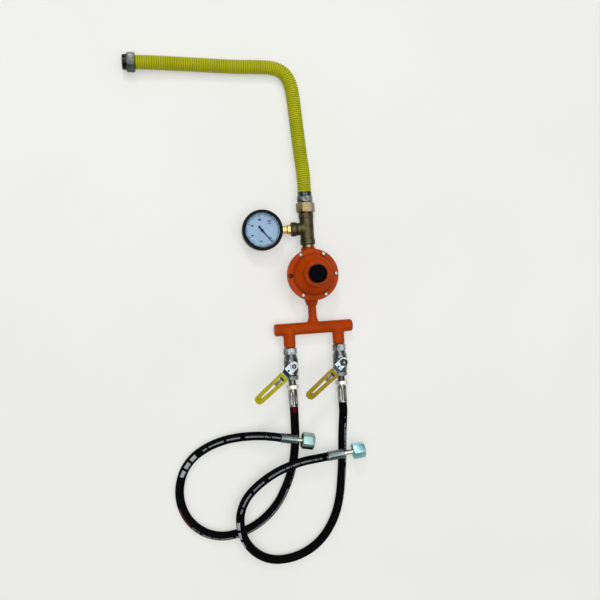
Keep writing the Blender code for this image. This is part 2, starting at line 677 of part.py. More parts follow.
def inlet_valve(brass, steel, rubber):
    root = INLET_END - SOCKET_DEPTH - GAP
    piece("inlet_orifice", turned([
        (ORIFICE_HOLE, ORIFICE_NOSE),
        (ORIFICE_HOLE + ORIFICE_LIP, ORIFICE_NOSE),
        (ORIFICE_HOLE + 1.5 * ORIFICE_LIP, ORIFICE_NOSE + 2 * EDGE),
        (ORIFICE_RADIUS, ORIFICE_NOSE + 2 * EDGE),
        (ORIFICE_RADIUS, root),
        (ORIFICE_HOLE, root),
    ]), brass, at_pipe(0), lying(FORWARD))
    rear = PIN_PLACE - PLUNGER_SLOT / 2 - PLUNGER_REAR
    length = ORIFICE_NOSE - PLUNGER_GAP - rear
    plunger = piece("valve_plunger", rod(PLUNGER_RADIUS, 0, length), rubber, at_pipe(rear), lying(FORWARD))
    half = Vector((RELAY_WIDTH / 2 + RUN, PLUNGER_SLOT / 2, 0))
    slot_low = at_pipe(PIN_PLACE) - half - 2 * PLUNGER_RADIUS * UP
    slot_high = at_pipe(PIN_PLACE) + half + (PLUNGER_RADIUS - PLUNGER_ROOF) * UP
    cut(plunger, block(slot_low, slot_high))
    piece("relay_pin", rod(PIN_RADIUS, -PIN_REACH, PIN_REACH, SMALL), steel, PIN_AT, lying(ALONG_X))

    # The outline's X lies along the gas line and its Y is up, both from the pin. The pad is under the post.
    tip = PIN_BELOW_PIPE + RELAY_TIP
    near = POST_RADIUS - EDGE / 2 - PIN_PLACE
    far = -POST_RADIUS - PIN_PLACE
    pad = POST_FOOT - RELAY_PLAY - PIN_HEIGHT
    bend = (near - RELAY_ARM) / 2
    outline = [
        (RELAY_ARM, RELAY_FOOT), (RELAY_ARM, tip), (-RELAY_ARM, tip), (-RELAY_ARM, RELAY_DROP),
        (bend, RELAY_DROP), (near, pad), (far, pad), (far, pad - RELAY_PAD),
        (near - RELAY_PAD, pad - RELAY_PAD), (bend - RELAY_PAD, RELAY_FOOT),
    ]
    side_on = Matrix(((0, 0, 1), (1, 0, 0), (0, 1, 0))).to_euler()
    lever_at = PIN_AT - RELAY_WIDTH / 2 * ALONG_X
    lever = piece("relay_lever", extruded(outline, RELAY_WIDTH), steel, lever_at, side_on)
    cut(lever, rod(PIN_RADIUS + GAP, -PIN_REACH, PIN_REACH, SMALL), PIN_AT, lying(ALONG_X))


def brass_fittings(brass, bronze):
    piece("regulator_nipple", turned([
        (FITTING_BORE, -THREAD_REACH),
        (THREAD_RADIUS, -THREAD_REACH),
        (THREAD_RADIUS, 0),
        (NIPPLE_RADIUS, 0),
        (NIPPLE_RADIUS, NIPPLE_COLLAR),
        (THREAD_RADIUS, NIPPLE_COLLAR),
        (THREAD_RADIUS, NIPPLE_COLLAR + THREAD_REACH),
        (FITTING_BORE, NIPPLE_COLLAR + THREAD_REACH),
    ]), brass, at_pipe(NIPPLE_START), lying(FORWARD))
    half = TEE_RUN / 2
    tee = piece("brass_tee", turned([
        (0, -half),
        (TEE_COLLAR_RADIUS, -half),
        (TEE_COLLAR_RADIUS, TEE_COLLAR - half),
        (TEE_RADIUS, TEE_COLLAR + EDGE - half),
        (TEE_RADIUS, half - TEE_COLLAR - EDGE),
        (TEE_COLLAR_RADIUS, half - TEE_COLLAR),
        (TEE_COLLAR_RADIUS, half),
        (0, half),
    ]), bronze, at_pipe(TEE_MIDDLE), lying(FORWARD))
    join(tee, turned([
        (0, 0),
        (TEE_BRANCH_RADIUS, 0),
        (TEE_BRANCH_RADIUS, TEE_BRANCH - TEE_COLLAR - EDGE),
        (TEE_BRANCH_RADIUS + TEE_COLLAR_RISE, TEE_BRANCH - TEE_COLLAR),
        (TEE_BRANCH_RADIUS + TEE_COLLAR_RISE, TEE_BRANCH),
        (0, TEE_BRANCH),
    ]), at_pipe(TEE_MIDDLE), lying(-ALONG_X))
    cut(tee, turned([
        (0, -half - PAST),
        (SOCKET_RADIUS, -half - PAST),
        (SOCKET_RADIUS, SOCKET_DEPTH - half),
        (TEE_BORE, SOCKET_DEPTH - half),
        (TEE_BORE, half - SOCKET_DEPTH),
        (SOCKET_RADIUS, half - SOCKET_DEPTH),
        (SOCKET_RADIUS, half + PAST),
        (0, half + PAST),
    ]), at_pipe(TEE_MIDDLE), lying(FORWARD))
    cut(tee, turned([
        (0, 0),
        (BRANCH_BORE, 0),
        (BRANCH_BORE, TEE_BRANCH - SOCKET_DEPTH),
        (GAUGE_THREAD_RADIUS + GAP, TEE_BRANCH - SOCKET_DEPTH),
        (GAUGE_THREAD_RADIUS + GAP, TEE_BRANCH + PAST),
        (0, TEE_BRANCH + PAST),
    ]), at_pipe(TEE_MIDDLE), lying(-ALONG_X))
    piece("hex_bushing", turned([
        (FITTING_BORE, -THREAD_REACH),
        (THREAD_RADIUS, -THREAD_REACH),
        (THREAD_RADIUS, 0),
        (BUSHING_FLATS / 2, 0, HEX),
        (BUSHING_FLATS / 2, BUSHING_LENGTH, HEX),
        (SOCKET_RADIUS, BUSHING_LENGTH),
        (SOCKET_RADIUS, BUSHING_LENGTH - SOCKET_DEPTH),
        (FITTING_BORE, BUSHING_LENGTH - SOCKET_DEPTH),
    ]), brass, at_pipe(BUSHING_START), lying(FORWARD))


def gas_hose(look, chrome, zinc):
    collar = HOSE_END_HEX + HOSE_END_COLLAR
    piece("gas_hose_inlet_end", turned([
        (FITTING_BORE, -THREAD_REACH),
        (THREAD_RADIUS, -THREAD_REACH),
        (THREAD_RADIUS, 0),
        (HOSE_END_FLATS / 2, 0, HEX),
        (HOSE_END_FLATS / 2, HOSE_END_HEX, HEX),
        (GAS_HOSE_RADIUS + EDGE / 2, HOSE_END_HEX),
        (GAS_HOSE_RADIUS + EDGE / 2, collar),
        (TAIL_RADIUS, collar),
        (TAIL_RADIUS, collar + TAIL_LENGTH),
        (FITTING_BORE, collar + TAIL_LENGTH),
    ]), chrome, at_pipe(HOSE_END_START), lying(FORWARD))
    leaving = heading(GAS_HOSE_HEADING)
    start = at_pipe(GAS_HOSE_START)
    points = hose_points(start, FORWARD, GAS_HOSE_ROUTE, GAS_HOSE_FINISH, leaving, 2 * GAS_HOSE_RADIUS)
    ribbed, length = smooth_route(points, 2 * RIB_COUNT)
    print(f"gas hose {length:.3f} m, {RIB_COUNT} ribs")
    ribs = tube("gas_hose_ribs", ribbed, [GAS_HOSE_RADIUS, GAS_HOSE_VALLEY], 2, look)
    hose = piece("gas_hose", mesh_of(ribs), look)
    inside, _ = smooth_route([start - PAST * FORWARD, *points, points[-1] + PAST * leaving], BORE_POINTS)
    cut(hose, mesh_of(tube("gas_hose_bore", inside, [GAS_HOSE_BORE], 2, look)))
    mouth = FITTING_BORE + OUTLET_MOUTH
    piece("gas_hose_outlet_end", turned([
        (FITTING_BORE, -TAIL_LENGTH),
        (TAIL_RADIUS, -TAIL_LENGTH),
        (TAIL_RADIUS, GAP),
        (OUTLET_FLATS / 2, GAP, HEX),
        (OUTLET_FLATS / 2, OUTLET_HEX, HEX),
        (OUTLET_THREAD_RADIUS, OUTLET_HEX),
        (OUTLET_THREAD_RADIUS, OUTLET_HEX + OUTLET_THREAD),
        (mouth, OUTLET_HEX + OUTLET_THREAD),
        (mouth, OUTLET_HEX),
        (FITTING_BORE, OUTLET_HEX - OUTLET_MOUTH),
    ]), zinc, GAS_HOSE_FINISH, lying(leaving))


def tooth(radius, angle):
    """A tooth's four corners, thinner than its space so that the gears run free."""
    corners = []
    for reach, half in ((-1.2, -0.75), (0.9, -0.36), (0.9, 0.36), (-1.2, 0.75)):
        out = radius + reach * TOOTH_MODULE
        turn = angle + half * TOOTH_MODULE / radius
        corners.append((out * math.cos(turn), out * math.sin(turn)))
    return corners


def gauge(black, white, clear, brass, dark):
    centre = Vector((-GAUGE_REACH, TEE_MIDDLE, 0))
    axis_at = centre + PIPE_HEIGHT * UP
    inside = GAUGE_CASE_RADIUS - GAUGE_WALL
    case = piece("gauge_case", turned([
        (0, GAUGE_BACK),
        (GAUGE_CASE_RADIUS - EDGE, GAUGE_BACK),
        (GAUGE_CASE_RADIUS, GAUGE_BACK + EDGE),
        (GAUGE_CASE_RADIUS, GAUGE_CASE_TOP),
        (inside, GAUGE_CASE_TOP),
        (inside, GAUGE_BACK + GAUGE_WALL),
        (0, GAUGE_BACK + GAUGE_WALL),
    ], ROUND), black, centre)
    hole = rod(GAUGE_SHANK_RADIUS + GAP, inside - PAST, GAUGE_CASE_RADIUS + PAST)
    cut(case, hole, axis_at, lying(ALONG_X))
    lens_low = GAUGE_CASE_TOP + GAP
    lip_low = lens_low + LENS_THICKNESS + GAP
    skirt = GAUGE_CASE_RADIUS + GAP
    rim = skirt + BEZEL_WALL
    piece("gauge_bezel", turned([
        (skirt, GAUGE_CASE_TOP - BEZEL_SKIRT),
        (rim, GAUGE_CASE_TOP - BEZEL_SKIRT),
        (rim, lip_low + BEZEL_LIP - EDGE),
        (rim - EDGE, lip_low + BEZEL_LIP),
        (rim - BEZEL_RIM + EDGE, lip_low + BEZEL_LIP),
        (rim - BEZEL_RIM, lip_low),
        (skirt, lip_low),
    ], ROUND), black, centre)
    lens = rod(GAUGE_CASE_RADIUS - GAP, lens_low, lens_low + LENS_THICKNESS, ROUND)
    piece("gauge_lens", lens, clear, centre)
    piece("gauge_dial", turned([
        (ARBOR_RADIUS + RUN, DIAL_HEIGHT),
        (inside - RUN, DIAL_HEIGHT),
        (inside - RUN, DIAL_HEIGHT + DIAL_THICKNESS),
        (ARBOR_RADIUS + RUN, DIAL_HEIGHT + DIAL_THICKNESS),
    ], ROUND), white, centre)
    gauge_socket(brass, axis_at)
    gauge_movement(brass, centre)
    gauge_pointer(dark, centre)


def gauge_socket(brass, axis_at):
    block_end = BOURDON_RADIUS + BOURDON_DEPTH
    thread_end = GAUGE_HEX_END + THREAD_REACH
    socket = piece("gauge_socket", turned([
        (0, block_end - PAST),
        (GAUGE_SHANK_RADIUS, block_end - PAST),
        (GAUGE_SHANK_RADIUS, GAUGE_NECK_START),
        (GAUGE_NECK_FLATS / 2, GAUGE_NECK_START, HEX),
        (GAUGE_NECK_FLATS / 2, GAUGE_HEX_START, HEX),
        (GAUGE_FLATS / 2, GAUGE_HEX_START, HEX),
        (GAUGE_FLATS / 2, GAUGE_HEX_END, HEX),
        (GAUGE_THREAD_RADIUS, GAUGE_HEX_END),
        (GAUGE_THREAD_RADIUS, thread_end),
        (0, thread_end),
    ]), brass, axis_at, lying(ALONG_X))
    block_low = MOVEMENT_HEIGHT + MOVEMENT_THICKNESS + GAP - PIPE_HEIGHT
    block_high = DIAL_HEIGHT - RUN - PIPE_HEIGHT
    low = axis_at + Vector((block_end - BLOCK_LENGTH, -BLOCK_WIDTH / 2, block_low))
    high = axis_at + Vector((block_end, BLOCK_WIDTH / 2, block_high))
    join(socket, block(low, high))
    bore = rod(GAUGE_BORE, block_end - BLOCK_LENGTH / 2, thread_end + PAST, SMALL)
    cut(socket, bore, axis_at, lying(ALONG_X))


def gauge_movement(brass, centre):
    """The curved tube that pressure straightens, and the plate and toothed sector that turn the pointer."""
    bm = bmesh.new()
    ring = []
    for k in range(SMALL):
        angle = math.tau * k / SMALL
        out = BOURDON_RADIUS + BOURDON_DEPTH / 2 * math.cos(angle)
        up = MOVEMENT_HEIGHT + BOURDON_WIDTH / 2 * (1 + math.sin(angle)) + EDGE / 2
        ring.append(bm.verts.new((out * math.cos(BOURDON_START), out * math.sin(BOURDON_START), up)))
    face = bm.faces.new(ring)
    bmesh.ops.spin(bm, geom=[face], axis=UP, angle=BOURDON_SWEEP, steps=14)
    bmesh.ops.holes_fill(bm, edges=bm.edges[:])
    bmesh.ops.recalc_face_normals(bm, faces=bm.faces[:])
    piece("gauge_bourdon_tube", bm, brass, centre)

    half = MOVEMENT_WIDTH / 2
    reach = PINION_RADIUS + SECTOR_RADIUS
    sector_at = centre - reach * FORWARD
    top = MOVEMENT_HEIGHT + MOVEMENT_THICKNESS
    plate = block((-half, EDGE - reach - half, MOVEMENT_HEIGHT), (half, half, top))
    movement = piece("gauge_movement", plate, brass, centre)
    foot = block((0, EDGE - half, MOVEMENT_HEIGHT), (BOURDON_RADIUS, half - EDGE, top))
    join(movement, foot, centre)
    sector_top = SECTOR_HEIGHT + SECTOR_THICKNESS + PAST
    join(movement, rod(SECTOR_PIN, top - MOVEMENT_THICKNESS / 2, sector_top, SMALL), sector_at)
    cut(movement, rod(ARBOR_RADIUS + GAP, MOVEMENT_HEIGHT - PAST, top + PAST, SMALL), centre)

    pitch = math.tau / SECTOR_CIRCLE_TEETH
    outline = []
    for k in range(SECTOR_TEETH):
        outline += tooth(SECTOR_RADIUS, math.pi / 2 + pitch * (k + 1.5 - SECTOR_TEETH))
    hub = 2.6 * SECTOR_PIN
    outline += [(-hub, hub), (-hub, -hub), (hub, -hub), (2 * hub, hub)]
    sector = piece("gauge_sector", extruded(outline, SECTOR_THICKNESS), brass, sector_at + SECTOR_HEIGHT * UP)
    cut(sector, rod(SECTOR_PIN + GAP, top, sector_top, SMALL), sector_at)


def gauge_pointer(dark, centre):
    """The hand, its hub and the arbor with the pinion."""
    low = MOVEMENT_HEIGHT + GAP
    hub = DIAL_HEIGHT + DIAL_THICKNESS + POINTER_THICKNESS
    top = hub + 2 * POINTER_THICKNESS
    pointer = piece("gauge_pointer", turned([
        (0, low),
        (ARBOR_RADIUS, low),
        (ARBOR_RADIUS, hub),
        (POINTER_HUB, hub),
        (POINTER_HUB, top),
        (0, top),
    ]), dark, centre)
    root = 0.4 * POINTER_HUB
    tip = 0.14 * POINTER_HUB
    tail = 0.6 * POINTER_HUB
    hand = [(0, -root), (POINTER_LENGTH, -tip), (POINTER_LENGTH, tip), (0, root),
            (-POINTER_TAIL, tail), (-POINTER_TAIL, -tail)]
    hand_at = centre + (hub + POINTER_THICKNESS / 2) * UP
    join(pointer, extruded(hand, POINTER_THICKNESS), hand_at, (0, 0, POINTER_REST))
    teeth = []
    for k in range(PINION_TEETH):
        teeth += tooth(PINION_RADIUS, math.tau * k / PINION_TEETH - math.pi / 2)
    join(pointer, extruded(teeth, SECTOR_THICKNESS + RUN), centre + (SECTOR_HEIGHT - RUN / 2) * UP)


def manifold(look):
    bore = MANIFOLD_RADIUS - MANIFOLD_WALL
    half = MANIFOLD_LENGTH / 2
    bar = piece("manifold", turned([
        (0, -half),
        (MANIFOLD_RADIUS - MANIFOLD_EDGE, -half),
        (MANIFOLD_RADIUS, MANIFOLD_EDGE - half),
        (MANIFOLD_RADIUS, half - MANIFOLD_EDGE),
        (MANIFOLD_RADIUS - MANIFOLD_EDGE, half),
        (0, half),
    ], ROUND), look, at_pipe(-MANIFOLD_PLACE), lying(ALONG_X))
    stub_start = OUTLET_END - STUB_INSERT
    join(bar, rod(STUB_RADIUS, stub_start, MANIFOLD_PLACE), at_pipe(0), lying(BACKWARD))
    for side in SIDES.values():
        leg_at = at_pipe(0) + side * LEG_SPACING / 2 * ALONG_X
        join(bar, rod(LEG_RADIUS, MANIFOLD_PLACE, LEG_END, ROUND), leg_at, lying(BACKWARD))
    cut(bar, rod(bore, MANIFOLD_CAP - half, half - MANIFOLD_CAP), at_pipe(-MANIFOLD_PLACE), lying(ALONG_X))
    cut(bar, rod(FITTING_BORE, stub_start - PAST, MANIFOLD_PLACE), at_pipe(0), lying(BACKWARD))
    for side in SIDES.values():
        leg_at = at_pipe(0) + side * LEG_SPACING / 2 * ALONG_X
        cut(bar, turned([
            (0, MANIFOLD_PLACE),
            (VALVE_BORE, MANIFOLD_PLACE),
            (VALVE_BORE, LEG_END - LEG_SOCKET_DEPTH),
            (LEG_SOCKET, LEG_END - LEG_SOCKET_DEPTH),
            (LEG_SOCKET, LEG_END + PAST),
            (0, LEG_END + PAST),
        ]), leg_at, lying(BACKWARD))


def valve(side, chrome, steel, yellow):
    at = at_pipe(-VALVE_START) + SIDES[side] * LEG_SPACING / 2 * ALONG_X
    stem_at = at_pipe(-BALL_PLACE) + SIDES[side] * LEG_SPACING / 2 * ALONG_X
    bulge = VALVE_LENGTH - VALVE_END_HEX - GAP
    body = piece(f"{side}_valve_body", turned([
        (VALVE_BORE, EDGE - LEG_SOCKET_DEPTH),
        (LEG_THREAD_RADIUS, EDGE - LEG_SOCKET_DEPTH),
        (LEG_THREAD_RADIUS, 0),
        (VALVE_FLATS / 2, 0, HEX),
        (VALVE_FLATS / 2, VALVE_HEX, HEX),
        (VALVE_FLATS / 2 - EDGE / 2, VALVE_HEX),
        (VALVE_RADIUS, VALVE_HEX + VALVE_SHOULDER),
        (VALVE_RADIUS, bulge - VALVE_SHOULDER),
        (VALVE_FLATS / 2 + EDGE / 2, bulge),
        (BALL_POCKET, bulge),
        (BALL_POCKET, VALVE_STEM_PLACE - BALL_POCKET),
        (VALVE_BORE, VALVE_STEM_PLACE - BALL_POCKET),
    ]), chrome, at, lying(BACKWARD))
    join(body, rod(STEM_BOSS_RADIUS, BALL_POCKET + EDGE, STEM_BOSS_TOP), stem_at)
    cut(body, rod(STEM_RADIUS + RUN, BALL_POCKET - VALVE_WALL, STEM_BOSS_TOP + PAST), stem_at)
    piece(f"{side}_valve_end", turned([
        (VALVE_BORE, -SOCKET_DEPTH / 2),
        (BALL_POCKET - GAP, -SOCKET_DEPTH / 2),
        (BALL_POCKET - GAP, 0),
        (VALVE_FLATS / 2, 0, HEX),
        (VALVE_FLATS / 2, VALVE_END_HEX, HEX),
        (TAIL_SOCKET, VALVE_END_HEX),
        (TAIL_SOCKET, TAIL_SEAT),
        (VALVE_BORE, TAIL_SEAT),
    ]), chrome, at_pipe(-VALVE_END_START) + SIDES[side] * LEG_SPACING / 2 * ALONG_X, lying(BACKWARD))
    valve_lever(side, pivot(f"{side}_valve_pivot", stem_at, LEVER_HEADING), chrome, steel, yellow)


def valve_lever(side, axis, chrome, steel, yellow):
    """What turns with the lever. Heights count from the pipe line, and X lies along the lever."""
    edge = math.acos(VALVE_BORE / BALL_RADIUS)
    arc = [edge * (k / 4 - 1) for k in range(9)]
    ball = piece(f"{side}_valve_ball", turned([
        (BALL_RADIUS * math.cos(angle), BALL_RADIUS * math.sin(angle)) for angle in arc
    ]), chrome, turn=lying(ALONG_X), parent=axis)
    slot = BALL_RADIUS - BALL_SLOT_DEPTH
    half_slot = BALL_SLOT_WIDTH / 2
    slot_low = (-half_slot, -BALL_RADIUS, slot)
    cut(ball, block(slot_low, (half_slot, BALL_RADIUS, BALL_RADIUS + PAST)))
    nut = LEVER_HEIGHT + LEVER_THICKNESS + GAP
    stud = nut + LEVER_NUT_HEIGHT + STUD_END
    stem = piece(f"{side}_valve_stem", turned([
        (0, BALL_RADIUS + STEM_FOOT),
        (STEM_RADIUS, BALL_RADIUS + STEM_FOOT),
        (STEM_RADIUS, LEVER_HEIGHT - GAP),
        (STUD_RADIUS, LEVER_HEIGHT - GAP),
        (STUD_RADIUS, stud),
        (0, stud),
    ]), steel, parent=axis)
    key = Vector((STEM_KEY_WIDTH, STEM_KEY_LENGTH, 0)) / 2
    join(stem, block(-key + (slot + GAP) * UP, key + (BALL_RADIUS + STEM_FOOT + EDGE) * UP))
    foot = -LEVER_WIDTH / 2 - EDGE
    bend = LEVER_BEND + LEVER_SLOPE
    root = GRIP_START - GAP
    low = LEVER_HEIGHT
    high = low + LEVER_RISE
    thick = LEVER_THICKNESS
    lever = piece(f"{side}_lever", extruded([
        (foot, low), (LEVER_BEND + EDGE, low), (bend + EDGE, high), (root, high),
        (root, high + thick), (bend, high + thick), (LEVER_BEND, low + thick), (foot, low + thick),
    ], LEVER_WIDTH), steel, (0, LEVER_WIDTH / 2, 0), (math.pi / 2, 0, 0), axis)
    inset = 0.1 * thick
    tongue_low = (bend + EDGE, -TONGUE_WIDTH / 2, high + inset)
    join(lever, block(tongue_low, (TONGUE_END, TONGUE_WIDTH / 2, high + thick - inset)))
    cut(lever, rod(STUD_RADIUS + GAP, low - PAST, low + thick + PAST))
    grip(f"{side}_grip", high + thick / 2, yellow, axis)
    piece(f"{side}_lever_nut", turned([
        (STUD_RADIUS + GAP, 0),
        (LEVER_NUT_FLATS / 2, 0, HEX),
        (LEVER_NUT_FLATS / 2, LEVER_NUT_HEIGHT, HEX),
        (STUD_RADIUS + GAP, LEVER_NUT_HEIGHT),
    ]), chrome, (0, 0, nut), parent=axis)


def grip(name, middle, yellow, axis):
    """The moulded loop on the lever's tongue, wider at its root and round at its tip."""
    root = GRIP_START_WIDTH / 2
    tip = GRIP_END_WIDTH / 2
    outline = [(GRIP_START, GRIP_CORNER - root), (GRIP_START + GRIP_CORNER, -root)]
    for k in range(9):
        angle = math.pi * (k / 8 - 0.5)
        outline.append((GRIP_END - tip + tip * math.cos(angle), tip * math.sin(angle)))
    outline += [(GRIP_START + GRIP_CORNER, root), (GRIP_START, root - GRIP_CORNER)]
    low = middle - GRIP_THICKNESS / 2
    loop = piece(name, extruded(outline, GRIP_THICKNESS), yellow, (0, 0, low), parent=axis)
    half = TONGUE_WIDTH / 2 + GAP
    slot = GRIP_START + GRIP_WALL
    cut(loop, block((slot, -half, low - PAST), (GRIP_END - GRIP_TIP, half, middle + GRIP_THICKNESS)))
    channel = LEVER_THICKNESS / 2 + GAP
    channel_low = (GRIP_START - PAST, -half, middle - channel)
    cut(loop, block(channel_low, (slot + PAST, half, middle + channel)))


def ferrule(name, radius, length, look, at, turn):
    piece(name, turned([
        (FERRULE_BORE, 0),
        (radius - FERRULE_EDGE, 0),
        (radius, FERRULE_EDGE),
        (radius, length - FERRULE_EDGE),
        (radius - FERRULE_EDGE, length),
        (FERRULE_BORE, length),
    ]), look, at, turn)


def supply_hose(side, rubber, zinc, brass):
    """A rubber hose from its valve to the swivel nut that goes on a gas cylinder."""
    across = SIDES[side] * LEG_SPACING / 2 * ALONG_X
    tail_at = at_pipe(-VALVE_END_START - VALVE_END_HEX) + across
    insert_end = FERRULE_START + FERRULE_LENGTH - INSERT_SHORT
    piece(f"{side}_hose_tail", turned([
        (HOSE_BORE, EDGE - VALVE_END_HEX),
        (HOSE_THREAD_RADIUS, EDGE - VALVE_END_HEX),
        (HOSE_THREAD_RADIUS, HOSE_HEX_START),
        (HOSE_HEX_FLATS / 2, HOSE_HEX_START, HEX),
        (HOSE_HEX_FLATS / 2, HOSE_HEX_START + HOSE_HEX, HEX),
        (HOSE_NECK_RADIUS, HOSE_HEX_START + HOSE_HEX),
        (HOSE_NECK_RADIUS, FERRULE_START - GAP),
        (HOSE_INSERT_RADIUS, FERRULE_START - GAP),
        (HOSE_INSERT_RADIUS, insert_end),
        (HOSE_BORE, insert_end),
    ]), brass, tail_at, lying(BACKWARD))
    ferrule(f"{side}_hose_ferrule", FERRULE_RADIUS, FERRULE_LENGTH, zinc,
            tail_at + FERRULE_START * BACKWARD, lying(BACKWARD))
    end_at, angle, bare, spin = CYLINDER_ENDS[side]
    ahead = heading(angle)
    start = at_pipe(-HOSE_END - GAP) + across
    points = hose_points(start, BACKWARD, HOSE_ROUTES[side], end_at - GAP * ahead, ahead, HOSE_DIAMETER)
    _, length = smooth_route(points, 1)
    between, _ = smooth_route(points[1:-1], round(length / (2 * HOSE_DIAMETER)))
    spaced = [points[0], *between, points[-1]]
    print(f"{side} hose {length:.3f} m between its ferrules")
    tube(f"{side}_hose", spaced, [HOSE_DIAMETER / 2], 2, rubber)
    ferrule(f"{side}_cylinder_ferrule", END_FERRULE_RADIUS, END_FERRULE_LENGTH, zinc, end_at, lying(ahead))
    shoulder = END_FERRULE_LENGTH + GAP
    nut_at = shoulder + bare
    head = nut_at + NUT_BACK + RUN
    nose = head + END_HEAD + END_NOSE
    piece(f"{side}_cylinder_tail", turned([
        (HOSE_BORE, INSERT_SHORT),
        (HOSE_INSERT_RADIUS, INSERT_SHORT),
        (HOSE_INSERT_RADIUS, shoulder),
        (END_TAIL_RADIUS, shoulder),
        (END_TAIL_RADIUS, head),
        (END_HEAD_RADIUS, head),
        (END_HEAD_RADIUS, head + END_HEAD),
        (END_TAIL_RADIUS, nose),
        (HOSE_BORE, nose),
    ]), zinc, end_at, lying(ahead))
    piece(f"{side}_cylinder_nut", turned([
        (END_TAIL_RADIUS + RUN, 0),
        (NUT_FLATS / 2, 0, HEX),
        (NUT_FLATS / 2, NUT_LENGTH, HEX),
        (NUT_THREAD_RADIUS, NUT_LENGTH),
        (NUT_THREAD_RADIUS, NUT_BACK),
        (END_TAIL_RADIUS + RUN, NUT_BACK),
    ]), zinc, end_at + nut_at * ahead, lying(ahead, spin))


def build():
    for thing in list(bpy.data.objects):
        bpy.data.objects.remove(thing)
    orange = material("orange paint", (0.38, 0.045, 0.004), 0.35)
    bronze = material("cast bronze", (0.115, 0.085, 0.045), 0.42, 1.0)
    brass = material("brass", (0.36, 0.25, 0.11), 0.34, 1.0)
    chrome = material("chrome plate", (0.34, 0.35, 0.345), 0.2, 1.0)
    zinc = material("zinc plate", (0.25, 0.27, 0.265), 0.38, 1.0)
    steel = material("steel", (0.5, 0.5, 0.5), 0.35, 1.0)
    dark = material("dark steel", (0.05, 0.05, 0.055), 0.4, 1.0)
    yellow_cover = material("yellow cover", (0.42, 0.42, 0.012), 0.4)
    yellow_grip = material("yellow grip", (0.46, 0.35, 0.008), 0.4)
    rubber = material("black rubber", (0.012, 0.012, 0.013), 0.55)
    plastic = material("black plastic", (0.01, 0.01, 0.011), 0.35)
    white = material("dial white", (0.42, 0.56, 0.75), 0.5)
    clear = material("clear lens", (0.9, 0.92, 0.94), 0.05)

    regulator_body(orange)
    regulator_bonnet(orange)
    bonnet_screws(steel, dark)
    diaphragm_parts(rubber, steel)
    adjuster(steel, plastic)
    inlet_valve(brass, steel, rubber)
    brass_fittings(brass, bronze)
    gas_hose(yellow_cover, chrome, zinc)
    gauge(plastic, white, clear, brass, dark)
    manifold(orange)
    for side in SIDES:
        valve(side, chrome, steel, yellow_grip)
        supply_hose(side, rubber, zinc, brass)


build()
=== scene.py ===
# %% [markdown]
# # A gas regulator set for two cylinders
# The real object joins two gas bottles to one outlet: two rubber hoses, two ball valves, a painted manifold,
# a regulator with an adjusting knob, a gauge on a tee, and a corrugated hose in a yellow plastic cover.
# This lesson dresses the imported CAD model. Each step makes one kind of piece and hangs it on its CAD body.
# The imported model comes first, because every piece is measured from it.

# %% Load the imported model
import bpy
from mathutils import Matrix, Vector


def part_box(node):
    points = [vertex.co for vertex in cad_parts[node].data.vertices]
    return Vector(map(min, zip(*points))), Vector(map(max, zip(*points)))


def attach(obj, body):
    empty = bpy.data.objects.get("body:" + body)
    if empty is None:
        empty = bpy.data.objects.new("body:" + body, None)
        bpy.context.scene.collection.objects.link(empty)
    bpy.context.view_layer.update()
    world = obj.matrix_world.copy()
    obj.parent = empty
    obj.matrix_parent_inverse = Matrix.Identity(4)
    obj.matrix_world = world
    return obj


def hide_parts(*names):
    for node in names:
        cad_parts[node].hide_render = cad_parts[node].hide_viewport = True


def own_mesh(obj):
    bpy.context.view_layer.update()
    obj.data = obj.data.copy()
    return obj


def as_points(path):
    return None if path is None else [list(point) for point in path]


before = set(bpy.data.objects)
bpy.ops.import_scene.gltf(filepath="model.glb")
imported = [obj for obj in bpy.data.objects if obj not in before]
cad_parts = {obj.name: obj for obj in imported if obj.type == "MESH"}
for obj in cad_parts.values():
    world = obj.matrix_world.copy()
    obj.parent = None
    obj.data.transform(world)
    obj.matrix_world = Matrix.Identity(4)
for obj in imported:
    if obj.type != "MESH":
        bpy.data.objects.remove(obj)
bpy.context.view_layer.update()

# %% [markdown]
# Blender counts in metres and the drawing in millimetres, so one value turns the second into the first.
# The Standard view shows a colour about as it is written, which makes it easy to match.

# %% Set the units and the colour view
import math

import bmesh
import bpy
from mathutils import Matrix, Vector

MM = 0.001
UP = Vector((0, 0, 1))
FORWARD = Vector((0, 1, 0))
scene = bpy.context.scene
scene.view_settings.view_transform = "Standard"
print("view", scene.view_settings.view_transform)

# %% [markdown]
# The photograph looks down on the set from almost straight above, leaning a little to the left and rolled
# by a few degrees. A camera could be placed by eye, but here one known point does it: the middle of the
# regulator, whose pixel is known, fixes the place once tilt, roll, distance and focal length are chosen.

# %% Place the camera
def added(name, operator, **settings):
    """A new object from one of Blender's add operators, selected alone."""
    bpy.ops.object.select_all(action="DESELECT")
    operator(**settings)
    bpy.context.object.name = name
    return bpy.context.object


IMAGE_PIXELS = 600
FOCAL_PIXELS = 698
CAMERA_TILT = math.radians(11)
CAMERA_ROLL = math.radians(3.8)
CAMERA_DISTANCE = 1.22
REGULATOR_MIDDLE = Vector((0, 0, 22)) * MM
REGULATOR_PIXEL = (310.6, 275.2)

